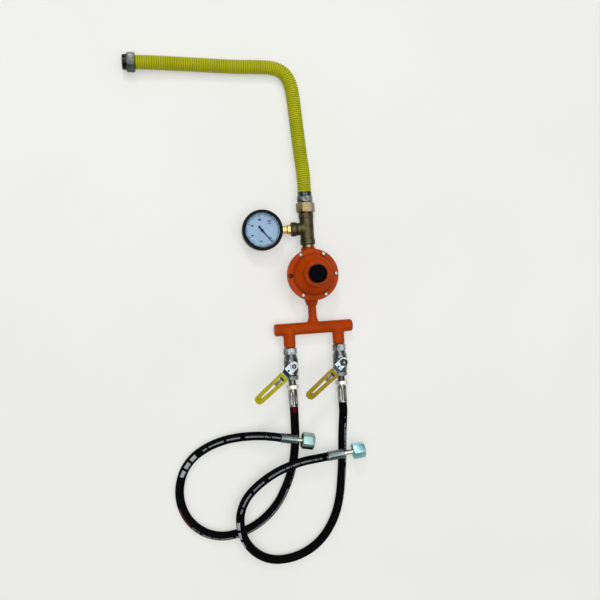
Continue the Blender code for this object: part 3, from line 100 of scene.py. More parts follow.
level = Vector((math.cos(CAMERA_TILT), 0, math.sin(CAMERA_TILT)))
back = Vector((-math.sin(CAMERA_TILT), 0, math.cos(CAMERA_TILT)))
right = level * math.cos(CAMERA_ROLL) - FORWARD * math.sin(CAMERA_ROLL)
above = level * math.sin(CAMERA_ROLL) + FORWARD * math.cos(CAMERA_ROLL)
shift_right = (REGULATOR_PIXEL[0] - IMAGE_PIXELS / 2) / FOCAL_PIXELS
shift_up = (IMAGE_PIXELS / 2 - REGULATOR_PIXEL[1]) / FOCAL_PIXELS
eye = REGULATOR_MIDDLE + CAMERA_DISTANCE * (back - right * shift_right - above * shift_up)
camera = added(
    "photo_camera", bpy.ops.object.camera_add, location=eye,
    rotation=Matrix((right, above, back)).transposed().to_euler())
camera.data.angle = 2 * math.atan(IMAGE_PIXELS / 2 / FOCAL_PIXELS)
scene.camera = camera
print("camera at", tuple(round(value, 3) for value in eye))

# %% [markdown]
# The photograph's light is soft and comes from right overhead, so tops are bright, sides fall off quickly
# and plated metal shows a bright middle between dark flanks. A bright patch of sky above the set gives
# that, with a darker sky round it. One lamp beyond the top of the picture draws a thin bright line along
# the upper edges. The sky is made of shader nodes, so the two helpers that place nodes come first.

# %% Light the studio and lay the floor
def feed(tree, node, inputs):
    """Gives a node's inputs their values, or links them to other nodes' outputs."""
    for label, value in inputs.items():
        if isinstance(value, bpy.types.NodeSocket):
            tree.links.new(value, node.inputs[label])
        else:
            node.inputs[label].default_value = value
    return node


def add_node(tree, kind, inputs=None, **settings):
    """A new shader node with these inputs and settings."""
    node = tree.nodes.new("ShaderNode" + kind)
    for setting, value in settings.items():
        setattr(node, setting, value)
    return feed(tree, node, inputs or {})


KEY_LAMP_PLACE = Vector((-0.35, 1.5, 1.6))
KEY_LAMP_SIZE = 0.25
KEY_LAMP_WATTS = 9.5
# The sky's strength overhead, and its share of that at heights from the horizon, 0, to straight up, 1
SKY_STRENGTH = 2.2
SKY_SHARES = ((0.0, 0.2), (0.14, 0.17), (0.3, 0.07), (0.74, 0.07), (0.88, 1.0), (1.0, 1.0))
FLOOR_SIZE = 60

key_lamp = added(
    "key_lamp", bpy.ops.object.light_add, type="AREA", location=KEY_LAMP_PLACE,
    rotation=KEY_LAMP_PLACE.to_track_quat("Z", "Y").to_euler())
key_lamp.data.size = KEY_LAMP_SIZE
key_lamp.data.energy = KEY_LAMP_WATTS

scene.world = bpy.data.worlds.new("studio_sky")
scene.world.use_nodes = True
sky = scene.world.node_tree
direction = add_node(sky, "TexCoord")
split = add_node(sky, "SeparateXYZ", {0: direction.outputs["Generated"]})
ramp = add_node(sky, "ValToRGB", {0: split.outputs["Z"]})
for height, _ in SKY_SHARES[1:-1]:
    ramp.color_ramp.elements.new(height)
for stop, (_, share) in zip(ramp.color_ramp.elements, SKY_SHARES):
    stop.color = (share, share, share, 1)
feed(sky, sky.nodes["Background"], {"Strength": SKY_STRENGTH, "Color": ramp.outputs["Color"]})

floor = added("studio_floor", bpy.ops.mesh.primitive_plane_add, size=FLOOR_SIZE)

# %% [markdown]
# Paint, plating, castings and plastic all vary a little over their surface: cloudy patches of lighter and
# darker colour, a finer grain in the gloss, and a slight relief. That is one effect with other values each
# time, so it is a node group, built once. Its grain can be stretched, for the lines of drawn metal.

# %% Build the worn surface
SURFACE_INPUTS = {
    "Dark": "Color", "Light": "Color", "Patches": "Float", "Grain": "Float", "Stretch": "Vector",
    "Smooth": "Float", "Rough": "Float", "Relief": "Float",
}
SURFACE_OUTPUTS = {"Color": "Color", "Roughness": "Float", "Normal": "Vector"}
PATCH_LOW = 0.32
PATCH_HIGH = 0.68
RELIEF_DEPTH = 0.25 * MM

worn_surface = bpy.data.node_groups.new("worn_surface", "ShaderNodeTree")
for sockets, way in ((SURFACE_INPUTS, "INPUT"), (SURFACE_OUTPUTS, "OUTPUT")):
    for label, kind in sockets.items():
        worn_surface.interface.new_socket(label, in_out=way, socket_type="NodeSocket" + kind)
given = worn_surface.nodes.new("NodeGroupInput").outputs
spot = add_node(worn_surface, "TexCoord").outputs["Object"]
patches = add_node(worn_surface, "TexNoise", {"Vector": spot, "Scale": given["Patches"], "Detail": 5})
spread = add_node(worn_surface, "MapRange", {
    "Value": patches.outputs["Fac"], "From Min": PATCH_LOW, "From Max": PATCH_HIGH})
tint = add_node(worn_surface, "Mix", {
    0: spread.outputs["Result"], 6: given["Dark"], 7: given["Light"]}, data_type="RGBA")
stretched = add_node(worn_surface, "VectorMath", {0: spot, 1: given["Stretch"]}, operation="MULTIPLY")
grain = add_node(worn_surface, "TexNoise", {
    "Vector": stretched.outputs[0], "Scale": given["Grain"], "Detail": 3})
gloss = add_node(worn_surface, "Mix", {0: grain.outputs["Fac"], 2: given["Smooth"], 3: given["Rough"]})
relief = add_node(worn_surface, "Bump", {
    "Strength": given["Relief"], "Distance": RELIEF_DEPTH, "Height": grain.outputs["Fac"]})
feed(worn_surface, worn_surface.nodes.new("NodeGroupOutput"), {
    "Color": tint.outputs[2], "Roughness": gloss.outputs[0], "Normal": relief.outputs["Normal"]})
print("group", worn_surface.name, "takes", list(SURFACE_INPUTS))

# %% [markdown]
# The floor is pale paper. A little of its light is its own, as paper lit from below has, but only where the
# camera, a mirror or a glass looks at it, so that it lightens the shadows without lighting the set.
# Its material is the first made from the worn surface, and the maker of finishes serves all the others.

# %% Make a maker of finishes and dress the floor
def colour(red, green, blue):
    """A screen colour, 0 to 255, as the linear values that a shader takes."""
    return (*[((value / 255 + 0.055) / 1.055) ** 2.4 for value in (red, green, blue)], 1.0)


def finish(name, dark, light, gloss, relief, patches=60, grain=700, stretch=(1, 1, 1), metal=0.0, shine=0.5):
    """A material from two colours, the least and most roughness, and the strength of the relief."""
    material = bpy.data.materials.new(name)
    material.use_nodes = True
    tree = material.node_tree
    values = (colour(*dark), colour(*light), patches, grain, stretch, *gloss, relief)
    surface = add_node(
        tree, "Group", dict(zip(SURFACE_INPUTS, values)), node_tree=worn_surface, name="surface").outputs
    feed(tree, tree.nodes["Principled BSDF"], {
        "Metallic": metal, "Specular IOR Level": shine, "Base Color": surface["Color"],
        "Roughness": surface["Roughness"], "Normal": surface["Normal"]})
    return material


FLOOR_GLOW = 0.5
pale_paper = finish("pale_paper", (236, 236, 232), (239, 239, 235), (0.8, 0.95), 0.02, patches=3, shine=0.1)
floor.data.materials.append(pale_paper)
paper = pale_paper.node_tree
rays = add_node(paper, "LightPath").outputs
seen = rays["Is Camera Ray"]
for kind in ("Is Glossy Ray", "Is Transmission Ray"):
    seen = add_node(paper, "Math", {0: seen, 1: rays[kind]}, operation="MAXIMUM").outputs[0]
share_seen = add_node(paper, "Math", {0: seen, 1: FLOOR_GLOW}, operation="MULTIPLY")
glow = add_node(paper, "Emission", {"Color": paper.nodes["surface"].outputs["Color"]})
blend = add_node(paper, "MixShader", {
    0: share_seen.outputs[0], 1: paper.nodes["Principled BSDF"].outputs[0], 2: glow.outputs[0]})
feed(paper, paper.nodes["Material Output"], {"Surface": blend.outputs[0]})
print("floor glow", FLOOR_GLOW)

# %% [markdown]
# Round pieces are turned on a lathe, and Blender's Spin does the same: an outline is drawn beside the axis,
# one extruded point after another, and spun a full turn. The outline is in millimetres, radius first and
# then the distance along the axis. Sharp corners of the outline are rounded first, as a tool's nose leaves
# them, because an edge with no radius catches no light.

# %% Make the lathe
WELD = 0.001 * MM
# The most of a line that one rounded corner takes
CORNER_REACH = 0.45
CORNER_STEPS = 4


def rounded(outline, radius):
    """The same outline with each inner corner replaced by a small curve."""
    points = [outline[0]]
    for corners in zip(outline, outline[1:], outline[2:]):
        before, corner, after = (Vector(point) for point in corners)
        arriving = before - corner
        leaving = after - corner
        reach = min(radius, CORNER_REACH * arriving.length, CORNER_REACH * leaving.length)
        start = corner + arriving.normalized() * reach
        end = corner + leaving.normalized() * reach
        for step in range(CORNER_STEPS + 1):
            t = step / CORNER_STEPS
            points.append(tuple(start * (1 - t) ** 2 + corner * 2 * t * (1 - t) + end * t ** 2))
    points.append(outline[-1])
    return points


def drawn(name, points):
    """A chain of points in metres, left in edit mode with all of it selected."""
    piece = added(name, bpy.ops.mesh.primitive_plane_add, size=MM)
    bpy.ops.object.mode_set(mode="EDIT")
    bpy.ops.mesh.select_all(action="SELECT")
    bpy.ops.mesh.merge(type="CENTER")
    bpy.ops.transform.translate(value=points[0])
    for here, there in zip(points, points[1:]):
        bpy.ops.mesh.extrude_region_move(TRANSFORM_OT_translate={"value": there - here})
    bpy.ops.mesh.select_all(action="SELECT")
    return piece


def clean(outwards=True):
    """Merges the active piece's doubled points, turns its faces outwards and leaves edit mode."""
    bpy.ops.object.mode_set(mode="EDIT")
    bpy.ops.mesh.select_all(action="SELECT")
    bpy.ops.mesh.remove_doubles(threshold=WELD)
    if outwards:
        bpy.ops.mesh.normals_make_consistent(inside=False)
    bpy.ops.object.mode_set(mode="OBJECT")


def turned(name, outline, sides=64):
    """The outline of (radius, distance) spun round Z."""
    piece = drawn(name, [Vector((radius, 0, distance)) * MM for radius, distance in outline])
    bpy.ops.mesh.spin(steps=sides, angle=math.tau, center=(0, 0, 0), axis=(0, 0, 1))
    clean()
    return piece


print("a rounded corner takes", CORNER_STEPS + 1, "points")

# %% [markdown]
# A turned piece stands on Z at the origin. It is laid along its own axis at its place, and the move is then
# written into its mesh, so that the finished object sits at the origin as the CAD's own objects do. Last it
# is hung on the CAD body that it moves with, in place of the plain solid that it stands for.

# %% Settle and hang a piece
SMOOTH_ANGLE = math.radians(32)


def take(piece):
    """Selects this piece alone."""
    bpy.ops.object.select_all(action="DESELECT")
    piece.select_set(True)
    bpy.context.view_layer.objects.active = piece


def fixed(piece):
    """Writes the piece's place, turn and size into its mesh."""
    take(piece)
    bpy.ops.object.transform_apply(location=True, rotation=True, scale=True)
    return piece


def settle(piece, at, axis=(0, 0, 1), spin=0.0):
    """Spins the piece about its own Z and lays that along an axis, Y upwards, at a place in millimetres."""
    forward = Vector(axis).normalized()
    turn = Matrix.Rotation(math.radians(spin), 4, "Z")
    if abs(forward.z) < 0.5:
        turn = Matrix((UP.cross(forward), UP, forward)).transposed().to_4x4() @ turn
    piece.matrix_world = Matrix.Translation(Vector(at) * MM) @ turn
    return fixed(piece)


def coated(piece, look):
    """The piece with a material of its own."""
    piece.data.materials.append(look)
    return piece


def hang(piece, look, body, slot, *nodes):
    """Gives the finished piece its look and its place on a CAD body, for the nodes that it stands for."""
    take(piece)
    if not piece.data.materials:
        coated(piece, look)
    bpy.ops.object.shade_smooth_by_angle(angle=SMOOTH_ANGLE)
    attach(piece, body)
    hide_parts(*nodes)
    print(piece.name, len(piece.data.polygons), "faces on", body)
    return piece


# %% [markdown]
# Three hoses lie over the floor in easy bends. A route could be drawn by hand, but the CAD's own is used: a
# smooth curve through a few points just above the floor, so that each hose lies where its solid does. The
# curve is cut into even steps, because a pattern along it would otherwise stretch between the points.

# %% Make the route maker
ROUTE_STEPS = 24
ROUTE_POINTS = 400


def smooth_route(points):
    """Evenly spaced points along a smooth curve through the given ones, and its length."""
    ghosts = [2 * points[0] - points[1], *points, 2 * points[-1] - points[-2]]
    dense = []
    for before, start, end, after in zip(ghosts, ghosts[1:], ghosts[2:], ghosts[3:]):
        for step in range(ROUTE_STEPS):
            t = step / ROUTE_STEPS
            bend = 2 * before - 5 * start + 4 * end - after
            twist = 3 * (start - end) + after - before
            dense.append(start + t * (end - before) / 2 + t * t * bend / 2 + t ** 3 * twist / 2)
    dense.append(points[-1])
    walked = [0.0]
    for start, end in zip(dense, dense[1:]):
        walked.append(walked[-1] + (end - start).length)
    spaced = []
    k = 0
    for step in range(ROUTE_POINTS + 1):
        wanted = walked[-1] * step / ROUTE_POINTS
        while k < len(dense) - 2 and walked[k + 1] < wanted:
            k += 1
        spaced.append(dense[k].lerp(dense[k + 1], (wanted - walked[k]) / (walked[k + 1] - walked[k])))
    return spaced, walked[-1]


def hose_route(start, start_direction, route, end, end_direction, straight):
    """The route in metres, with a straight run square to the fitting at each end, and its length."""
    opening = [start + start_direction * straight * share for share in (0, 0.5, 1)]
    closing = [end - end_direction * straight * share for share in (1, 0.5, 0)]
    return smooth_route([Vector(point) * MM for point in (*opening, *route, *closing)])


print("points on each route", ROUTE_POINTS + 1)

# %% [markdown]
# The outlet hose is a corrugated steel pipe in a shrunk-on yellow cover. It leaves its nut square, bends
# once, and ends in a second nut. Its first and last points follow from those nuts. The points between them
# are the CAD's, typed in, because they were chosen one by one and no rule gives them.

# %% Find the gas hose's route
def heading(degrees):
    """The level direction at an angle from X."""
    return Vector((math.cos(math.radians(degrees)), math.sin(math.radians(degrees)), 0))


PIPE_HEIGHT = 16
GAS_HOSE_RADIUS = 12.2
GAS_HOSE_EXIT = Vector((0, 146.1, PIPE_HEIGHT))
GAS_HOSE_FINISH = Vector((-275, 375.6, 15.2))
GAS_HOSE_HEADING = heading(178.7)
GAS_HOSE_ROUTE = (
    (-0.8, 190, 14.4), (-2.4, 213, 13), (-4, 238, 12.6), (-5.6, 264, 12.6), (-7.3, 292, 12.6),
    (-9, 316, 12.6), (-11.8, 335, 12.6), (-19, 352, 12.6), (-32.6, 362.8, 12.6), (-51, 367, 12.6),
    (-76, 367.9, 12.6), (-104, 368.2, 12.6), (-136, 369.8, 12.6), (-170, 371.8, 12.6),
    (-203, 373.4, 12.9), (-230, 374.5, 14.1),
)
gas_route, gas_length = hose_route(
    GAS_HOSE_EXIT, FORWARD, GAS_HOSE_ROUTE, GAS_HOSE_FINISH, GAS_HOSE_HEADING, 2 * GAS_HOSE_RADIUS)
print("gas hose length", round(gas_length, 4))

# %% [markdown]
# A tube could be swept along a route at once, but a sweep gives no ribs. So each hose is built straight from
# one short ring, which an Array repeats, and a Curve modifier then bends it along the route. The tools for
# that also close the hose's ends and keep a value at each of its points, which its colours can read later.

# %% Make the tools for hoses
def changed(piece, kind, **settings):
    """Gives the piece a modifier with these settings and applies it."""
    modifier = piece.modifiers.new("change", kind)
    for setting, value in settings.items():
        setattr(modifier, setting, value)
    take(piece)
    bpy.ops.object.modifier_apply(modifier=modifier.name)
    return piece


def bent_along(piece, route):
    """Bends a straight piece that stands on Z along a route."""
    line = bpy.data.curves.new("route", "CURVE")
    line.dimensions = "3D"
    line.twist_mode = "Z_UP"
    spline = line.splines.new("POLY")
    spline.points.add(len(route) - 1)
    for point, place in zip(spline.points, route):
        point.co = (*place, 1)
    guide = bpy.data.objects.new("route", line)
    scene.collection.objects.link(guide)
    changed(piece, "CURVE", object=guide, deform_axis="POS_Z")
    bpy.data.objects.remove(guide)


def repeated(piece, count, step):
    """The piece repeated along Z, each copy welded to the one before."""
    return changed(
        piece, "ARRAY", count=count, use_relative_offset=False, use_constant_offset=True,
        constant_offset_displace=(0, 0, step), use_merge_vertices=True, merge_threshold=2 * WELD)


def close_ends(piece):
    """Joins the open rims at each end of a straight tube: two rims by a ring of faces, one by a lid."""
    take(piece)
    bpy.ops.object.mode_set(mode="EDIT")
    middle = max(corner[2] for corner in piece.bound_box) / 2
    for upper in (False, True):
        bpy.ops.mesh.select_all(action="DESELECT")
        mesh = bmesh.from_edit_mesh(piece.data)
        rim = [edge for edge in mesh.edges if edge.is_boundary and (edge.verts[0].co.z > middle) == upper]
        for edge in rim:
            edge.select_set(True)
        bmesh.update_edit_mesh(piece.data)
        if len({round(edge.verts[0].co.xy.length, 5) for edge in rim}) > 1:
            bpy.ops.mesh.bridge_edge_loops()
        else:
            bpy.ops.mesh.edge_face_add()
    clean()


def joined(piece, *others):
    """One piece out of several that only touch."""
    take(piece)
    for other in others:
        other.select_set(True)
    bpy.ops.object.join()
    return piece


def keep_value(piece, label, values):
    piece.data.attributes.new(label, "FLOAT", "POINT").data.foreach_set("value", values)


print("copies are welded within", 2 * WELD, "m")

# %% [markdown]
# The cover is shrunk on, so it shows the pipe's ribs: full round tops with narrow valleys between them. One
# rib is turned and joined to a ring of the bore, and the row is bent along the route. The ribs could be a
# relief in the material, but real ones show in the hose's outline. Each point keeps its height on the rib.

# %% Turn one rib and bend the row of ribs along the route
RIB_COUNT = 124
RIB_VALLEY = 11.1
RIB_RISE = GAS_HOSE_RADIUS - RIB_VALLEY
RIB_STEPS = 8
# The rib's start and its width as shares of the pitch, and how full its top is
RIB_START = 0.14
RIB_WIDTH = 0.72
RIB_FULLNESS = 0.55
GAS_HOSE_BORE = 9
GAS_HOSE_SIDES = 40
rib_pitch = gas_length / RIB_COUNT / MM
rib = [(RIB_VALLEY, 0)]
for k in range(RIB_STEPS + 1):
    swell = math.sin(math.pi * k / RIB_STEPS) ** RIB_FULLNESS if 0 < k < RIB_STEPS else 0
    rib.append((RIB_VALLEY + RIB_RISE * swell, rib_pitch * (RIB_START + RIB_WIDTH * k / RIB_STEPS)))
rib.append((RIB_VALLEY, rib_pitch))
yellow_hose = joined(
    turned("yellow_gas_hose", rib, GAS_HOSE_SIDES),
    turned("gas_hose_bore", [(GAS_HOSE_BORE, 0), (GAS_HOSE_BORE, rib_pitch)], GAS_HOSE_SIDES))
repeated(yellow_hose, RIB_COUNT, rib_pitch * MM)
close_ends(yellow_hose)
keep_value(yellow_hose, "rib_height", [
    (vertex.co.xy.length / MM - RIB_VALLEY) / RIB_RISE for vertex in yellow_hose.data.vertices])
bent_along(yellow_hose, gas_route)
print("ribs", RIB_COUNT, "every", round(rib_pitch, 2), "mm")

# %% [markdown]
# The cover is a lime yellow plastic, a little cloudy, with a soft gloss. The valleys between the ribs get
# painted shade. It could be painted on as a picture, but the kept height on the rib does it evenly: it mixes
# a browner yellow into the valleys.

# %% Dress the gas hose
# Rib heights over which the painted shade in the valleys fades out
VALLEY_SHADE_LOW = -0.1
VALLEY_SHADE_HIGH = 0.75
yellow_cover = finish(
    "yellow_cover", (166, 171, 11), (185, 187, 17), (0.36, 0.5), 0.12, patches=35, shine=0.14)
cover_tree = yellow_cover.node_tree
rib_height = add_node(cover_tree, "Attribute", attribute_name="rib_height")
rib_top_share = add_node(cover_tree, "MapRange", {
    "Value": rib_height.outputs["Fac"], "From Min": VALLEY_SHADE_LOW, "From Max": VALLEY_SHADE_HIGH})
# Painted shade: a browner yellow mixed into the valleys between the ribs
valley_shaded = add_node(cover_tree, "Mix", {
    0: rib_top_share.outputs["Result"], 6: colour(128, 129, 9), 7: cover_tree.nodes["surface"].outputs["Color"],
}, data_type="RGBA")
feed(cover_tree, cover_tree.nodes["Principled BSDF"], {"Base Color": valley_shaded.outputs[2]})
hang(yellow_hose, yellow_cover, "set", "yellow_cover", "gas_hose")

# %% [markdown]
# The two hoses to the cylinders are black rubber with a cloth-wrapped skin. They run down from the valves,
# loop over the floor and over each other, and end in swivel nuts. Their routes are the CAD's too. A printed
# line winds along each hose, because the hose twists as it is laid, so a table says where the line runs.

# %% Set out the rubber hoses
LEG_PLACE = 44
SIDES = {"left": -1, "right": 1}
HOSE_ROUTES = {
    "left": (
        (-43.9, -251, 13.9), (-43.6, -266, 10.7), (-43.9, -283, 8.4), (-46, -302, 7.7), (-50, -323, 7.7),
        (-57, -346, 7.7), (-67, -368, 7.7), (-81.5, -391.5, 7.7), (-101, -411.5, 7.7), (-125, -427, 7.7),
        (-152, -436, 7.7), (-180, -438, 7.7), (-205, -431, 7.7), (-226, -416, 7.7), (-240.5, -396, 7.7),
        (-248.4, -371, 7.7), (-248, -345, 7.7), (-239, -319, 7.7), (-221.5, -298, 7.7), (-197, -283.6, 7.7),
        (-171, -275.4, 7.8), (-146, -271.8, 9.6), (-122, -270.9, 14.6), (-103, -271.4, 20.8)),
    "right": (
        (43.6, -252, 13.9), (42.4, -270, 10.4), (40.8, -292, 8.2), (39.2, -316, 7.7), (37, -340, 7.7),
        (34, -364, 7.7), (29.8, -390, 7.7), (22.6, -416, 7.7), (11, -440, 7.7), (-6, -462, 7.7),
        (-28, -478.6, 7.7), (-55, -489, 7.7), (-84, -491.4, 7.7), (-109, -484.6, 9.4), (-130, -467.5, 16.4),
        (-145, -444, 24.4), (-151, -418, 25.2), (-148, -395.5, 22.4), (-136, -374, 20), (-115.5, -355.4, 20),
        (-90, -339.4, 22.2), (-62, -327.8, 24.8), (-34, -321.4, 25.4)),
}
# Where each cylinder fitting starts, where it points, its length of bare tail, and the nut's spin in degrees
CYLINDER_ENDS = {
    "left": (Vector((-72, -276.6, 25.4)), heading(-12.5), 8, -16),
    "right": (Vector((8.2, -317.6, 25.4)), heading(5), 16, -26),
}
# Where the printed line runs: the distance along the hose, and how many degrees it lies from the top
PRINT_LINES = {
    "left": (
        (0, 0), (12, 2), (30, 85), (100, 60), (145, 30), (250, 28), (330, 34), (370, 40), (440, 4), (700, 0)),
    "right": (
        (0, 15), (80, 32), (180, 60), (260, 100), (360, 110), (410, 62), (448, 33), (465, 3), (700, 0)),
}
# How much further along its pattern each hose starts
PRINT_STARTS = {"left": 0, "right": 28}
print("route points", {side: len(route) for side, route in HOSE_ROUTES.items()})

# %% [markdown]
# Each hose is made as the first one was: a short ring is turned, repeated and bent. Each point keeps its
# distance along the hose and its distance across from the printed line. A flat picture could be wrapped
# round the hose, but with those two values a pattern follows it exactly, however it bends.

# %% Bend the two rubber hoses
RUBBER_RADIUS = 7.4
RUBBER_EXIT = -227.1
RUBBER_RING = 2.5
RUBBER_SIDES = 32
RUBBER_GAP = 0.3


def read_between(table, wanted):
    """The value at a distance, between the two entries of a table that lie round it."""
    for (low, first), (high, second) in zip(table, table[1:]):
        if wanted <= high:
            return first + (second - first) * (wanted - low) / (high - low)
    return table[-1][1]


rubber_routes = {}
rubber_hoses = {}
for side, sign in SIDES.items():
    fitting, pointing, _, _ = CYLINDER_ENDS[side]
    route, length = hose_route(
        Vector((sign * LEG_PLACE, RUBBER_EXIT, PIPE_HEIGHT)), -FORWARD, HOSE_ROUTES[side],
        fitting - RUBBER_GAP * pointing, pointing, 2 * RUBBER_RADIUS)
    rings = round(length / MM / RUBBER_RING)
    ring_outline = [(RUBBER_RADIUS, 0), (RUBBER_RADIUS, length / MM / rings)]
    hose = repeated(turned(f"{side}_rubber_hose", ring_outline, RUBBER_SIDES), rings, length / rings)
    close_ends(hose)
    along = [vertex.co.z for vertex in hose.data.vertices]
    bent_along(hose, route)
    across = []
    for vertex, distance in zip(hose.data.vertices, along):
        place = distance / length * ROUTE_POINTS
        k = min(int(place), ROUTE_POINTS - 1)
        line = (route[k + 1] - route[k]).normalized()
        offset = vertex.co - route[k].lerp(route[k + 1], place - k)
        turn = math.atan2(offset.dot(UP.cross(line)), offset.z)
        turn -= math.radians(read_between(PRINT_LINES[side], distance / MM))
        across.append(turn * RUBBER_RADIUS * MM)
    keep_value(hose, "along", [distance + PRINT_STARTS[side] * MM for distance in along])
    keep_value(hose, "across", across)
    rubber_routes[side] = (route, length)
    rubber_hoses[side] = hose
    print(hose.name, "length", round(length, 4))

# %% [markdown]
# The rubber is deep black and dull. Its print needs a small kit of masks, each 1 where the ink may lie: a
# stretch of the hose, a band along the printed line, the first share of each step, and some cells out of
# many. White Noise decides which cells, because it gives each whole number its own fixed value.

# %% Make the masks for the hoses' print
rubber = finish(
    "black_rubber", (5, 5, 7), (11, 11, 13), (0.42, 0.6), 0.35, patches=80, grain=1600, shine=0.015)
rubber_tree = rubber.node_tree
distance_along = add_node(rubber_tree, "Attribute", attribute_name="along").outputs["Fac"]
distance_across = add_node(rubber_tree, "Attribute", attribute_name="across").outputs["Fac"]


def rubber_math(operation, first, second=0.0):
    return add_node(rubber_tree, "Math", {0: first, 1: second}, operation=operation).outputs[0]


def both(*masks):
    """1 where every mask is 1."""
    shared = masks[0]
    for mask in masks[1:]:
        shared = rubber_math("MULTIPLY", shared, mask)
    return shared


def between(low, high):
    """1 along a stretch of the hose."""
    past_low = rubber_math("GREATER_THAN", distance_along, low)
    return both(past_low, rubber_math("LESS_THAN", distance_along, high))


def in_band(width):
    """1 in a band along the printed line."""
    return rubber_math("LESS_THAN", rubber_math("ABSOLUTE", distance_across), width / 2)


def in_step(step, start, filled):
    """1 in the first share of each step along the hose."""
    steps = rubber_math("DIVIDE", rubber_math("SUBTRACT", distance_along, start), step)
    return rubber_math("LESS_THAN", rubber_math("FRACT", steps), filled)


def some_cells(step, keep):
    """1 in the cells of this length that are printed, 0 in the others."""
    cell = rubber_math("FLOOR", rubber_math("DIVIDE", distance_along, step))
    chance = add_node(rubber_tree, "TexWhiteNoise", noise_dimensions="1D")
    rubber_tree.links.new(cell, chance.inputs["W"])
    return rubber_math("LESS_THAN", chance.outputs["Value"], keep)


def inked(base, ink, mask):
    """The base colour with ink laid over it where the mask is 1."""
    return add_node(rubber_tree, "Mix", {0: mask, 6: base, 7: ink}, data_type="RGBA").outputs[2]


print("masks on", rubber.name)

# %% [markdown]
# The print is a grey line of small dashes, three bold bars, a few red dashes, and a maroon patch by one
# valve. All of it is ink in the rubber's colour, not geometry, because print has no thickness to see.

# %% Ink the rubber hoses
DASH_STEP = 1.7 * MM
DASH_WIDTH = 3 * MM
DASH_FILLED = 0.5
DASHES_KEPT = 0.86
DASH_GROUP = 9 * MM
GROUPS_KEPT = 0.88
PRINT_FROM = 52 * MM
BAR_START = 433 * MM
BAR_STEP = 15.6 * MM
BAR_FILLED = 0.72
BAR_END = BAR_START + 3 * BAR_STEP
BAR_WIDTH = 6.6 * MM
BAR_MARGIN = 10 * MM
RED_DASHES = (343 * MM, 381 * MM)
PATCH = (0.8 * MM, 9.6 * MM)
PATCH_WIDTH = 9 * MM
GREY_INK = colour(156, 160, 164)
RED_INK = colour(138, 44, 54)
MAROON_INK = colour(74, 10, 34)

bars = both(between(BAR_START, BAR_END), in_step(BAR_STEP, BAR_START, BAR_FILLED), in_band(BAR_WIDTH))
clear_of_bars = rubber_math("SUBTRACT", 1.0, between(RED_DASHES[1], BAR_END + BAR_MARGIN))
dashes = both(
    in_band(DASH_WIDTH), in_step(DASH_STEP, 0.0, DASH_FILLED), some_cells(DASH_STEP, DASHES_KEPT),
    some_cells(DASH_GROUP, GROUPS_KEPT), clear_of_bars,
    rubber_math("GREATER_THAN", distance_along, PRINT_FROM))
line_ink = inked(GREY_INK, RED_INK, between(*RED_DASHES))
lined = inked(rubber_tree.nodes["surface"].outputs["Color"], line_ink, rubber_math("MAXIMUM", bars, dashes))
patched = inked(lined, MAROON_INK, both(between(*PATCH), in_band(PATCH_WIDTH)))
feed(rubber_tree, rubber_tree.nodes["Principled BSDF"], {"Base Color": patched})
for side, hose in rubber_hoses.items():
    hang(hose, rubber, "set", "rubber", f"{side}_hose")

# %% [markdown]
# Nuts start as six-sided bars. On a lathe their corners are turned off at a slant, which leaves the curved
# edge that every real nut has. The same happens here: a six-sided cylinder is cut by a turned shape with
# slanted ends, by a Boolean that keeps what they share, and a small Bevel breaks the edges. Threads are
# turned as a row of ridges, because their pitch is too fine for the slope to show.

# %% Make the hexagon maker
HEX_FACE = 0.47
HEX_SLANT = math.tan(math.radians(30))
HEX_EDGE = 0.22
# Where a thread's flat crest starts and ends in its pitch
CREST_START = 0.42
CREST_END = 0.58


def carve(piece, tool, operation="DIFFERENCE"):
    """Cuts, joins or trims the piece with a tool, which is used up, and takes off the tool's empty look."""
    changed(piece, "BOOLEAN", operation=operation, object=tool, solver="MANIFOLD")
    bpy.data.objects.remove(tool)
    piece.data.materials.clear()
    piece.data.polygons.foreach_set("material_index", [0] * len(piece.data.polygons))
    clean(outwards=False)
    return piece


def soften(piece, width, segments=2, angle=24):
    """Rounds every edge sharper than an angle."""
    return changed(
        piece, "BEVEL", width=width * MM, segments=segments, limit_method="ANGLE",
        angle_limit=math.radians(angle))


def hexagon(name, flats, start, end):
    """A six-sided nut along Z, with a flat on its Y side and its corners turned off."""
    corner = flats / math.sqrt(3)
    face = HEX_FACE * flats
    slant = (corner - face) * HEX_SLANT
    outside = corner + 0.1
    piece = fixed(added(
        name, bpy.ops.mesh.primitive_cylinder_add, vertices=6, radius=corner * MM, depth=(end - start) * MM,
        location=(0, 0, (start + end) / 2 * MM), rotation=(0, 0, math.radians(30))))
    tool = turned("corner_tool", [
        (0, start), (face, start), (outside, start + slant), (outside, end - slant), (face, end), (0, end),
    ], 96)
    return soften(carve(piece, tool, "INTERSECT"), HEX_EDGE)


def thread(radius, start, end, pitch=1.6, depth=0.8):
    """The outline of a row of ridges."""
    count = round((end - start) / pitch)
    step = (end - start) / count
    outline = []
    for k in range(count):
        low = start + k * step
        outline += [
            (radius - depth, low), (radius, low + CREST_START * step), (radius, low + CREST_END * step)]
    return [*outline, (radius - depth, end)]


print("a thread 8 mm long has", len(thread(8, 0, 8)), "points")

# %% [markdown]
# At its near end the gas hose has a plated hexagon and a collar pressed over the hose. At its far end it
# has a zinc-plated nut with a male thread and a deep mouth, where the appliance is screwed on. Each hexagon
# and its turned neck are made apart and then joined, as the collar is pressed on after the nut is cut.

# %% Make the gas hose's two ends
dark_chrome = finish("dark_chrome", (32, 34, 34), (118, 121, 117), (0.06, 0.2), 0.05, patches=170, metal=1.0)
zinc = finish(
    "zinc_plate", (60, 62, 58), (98, 101, 95), (0.2, 0.38), 0.16, patches=140, grain=1400, metal=1.0)

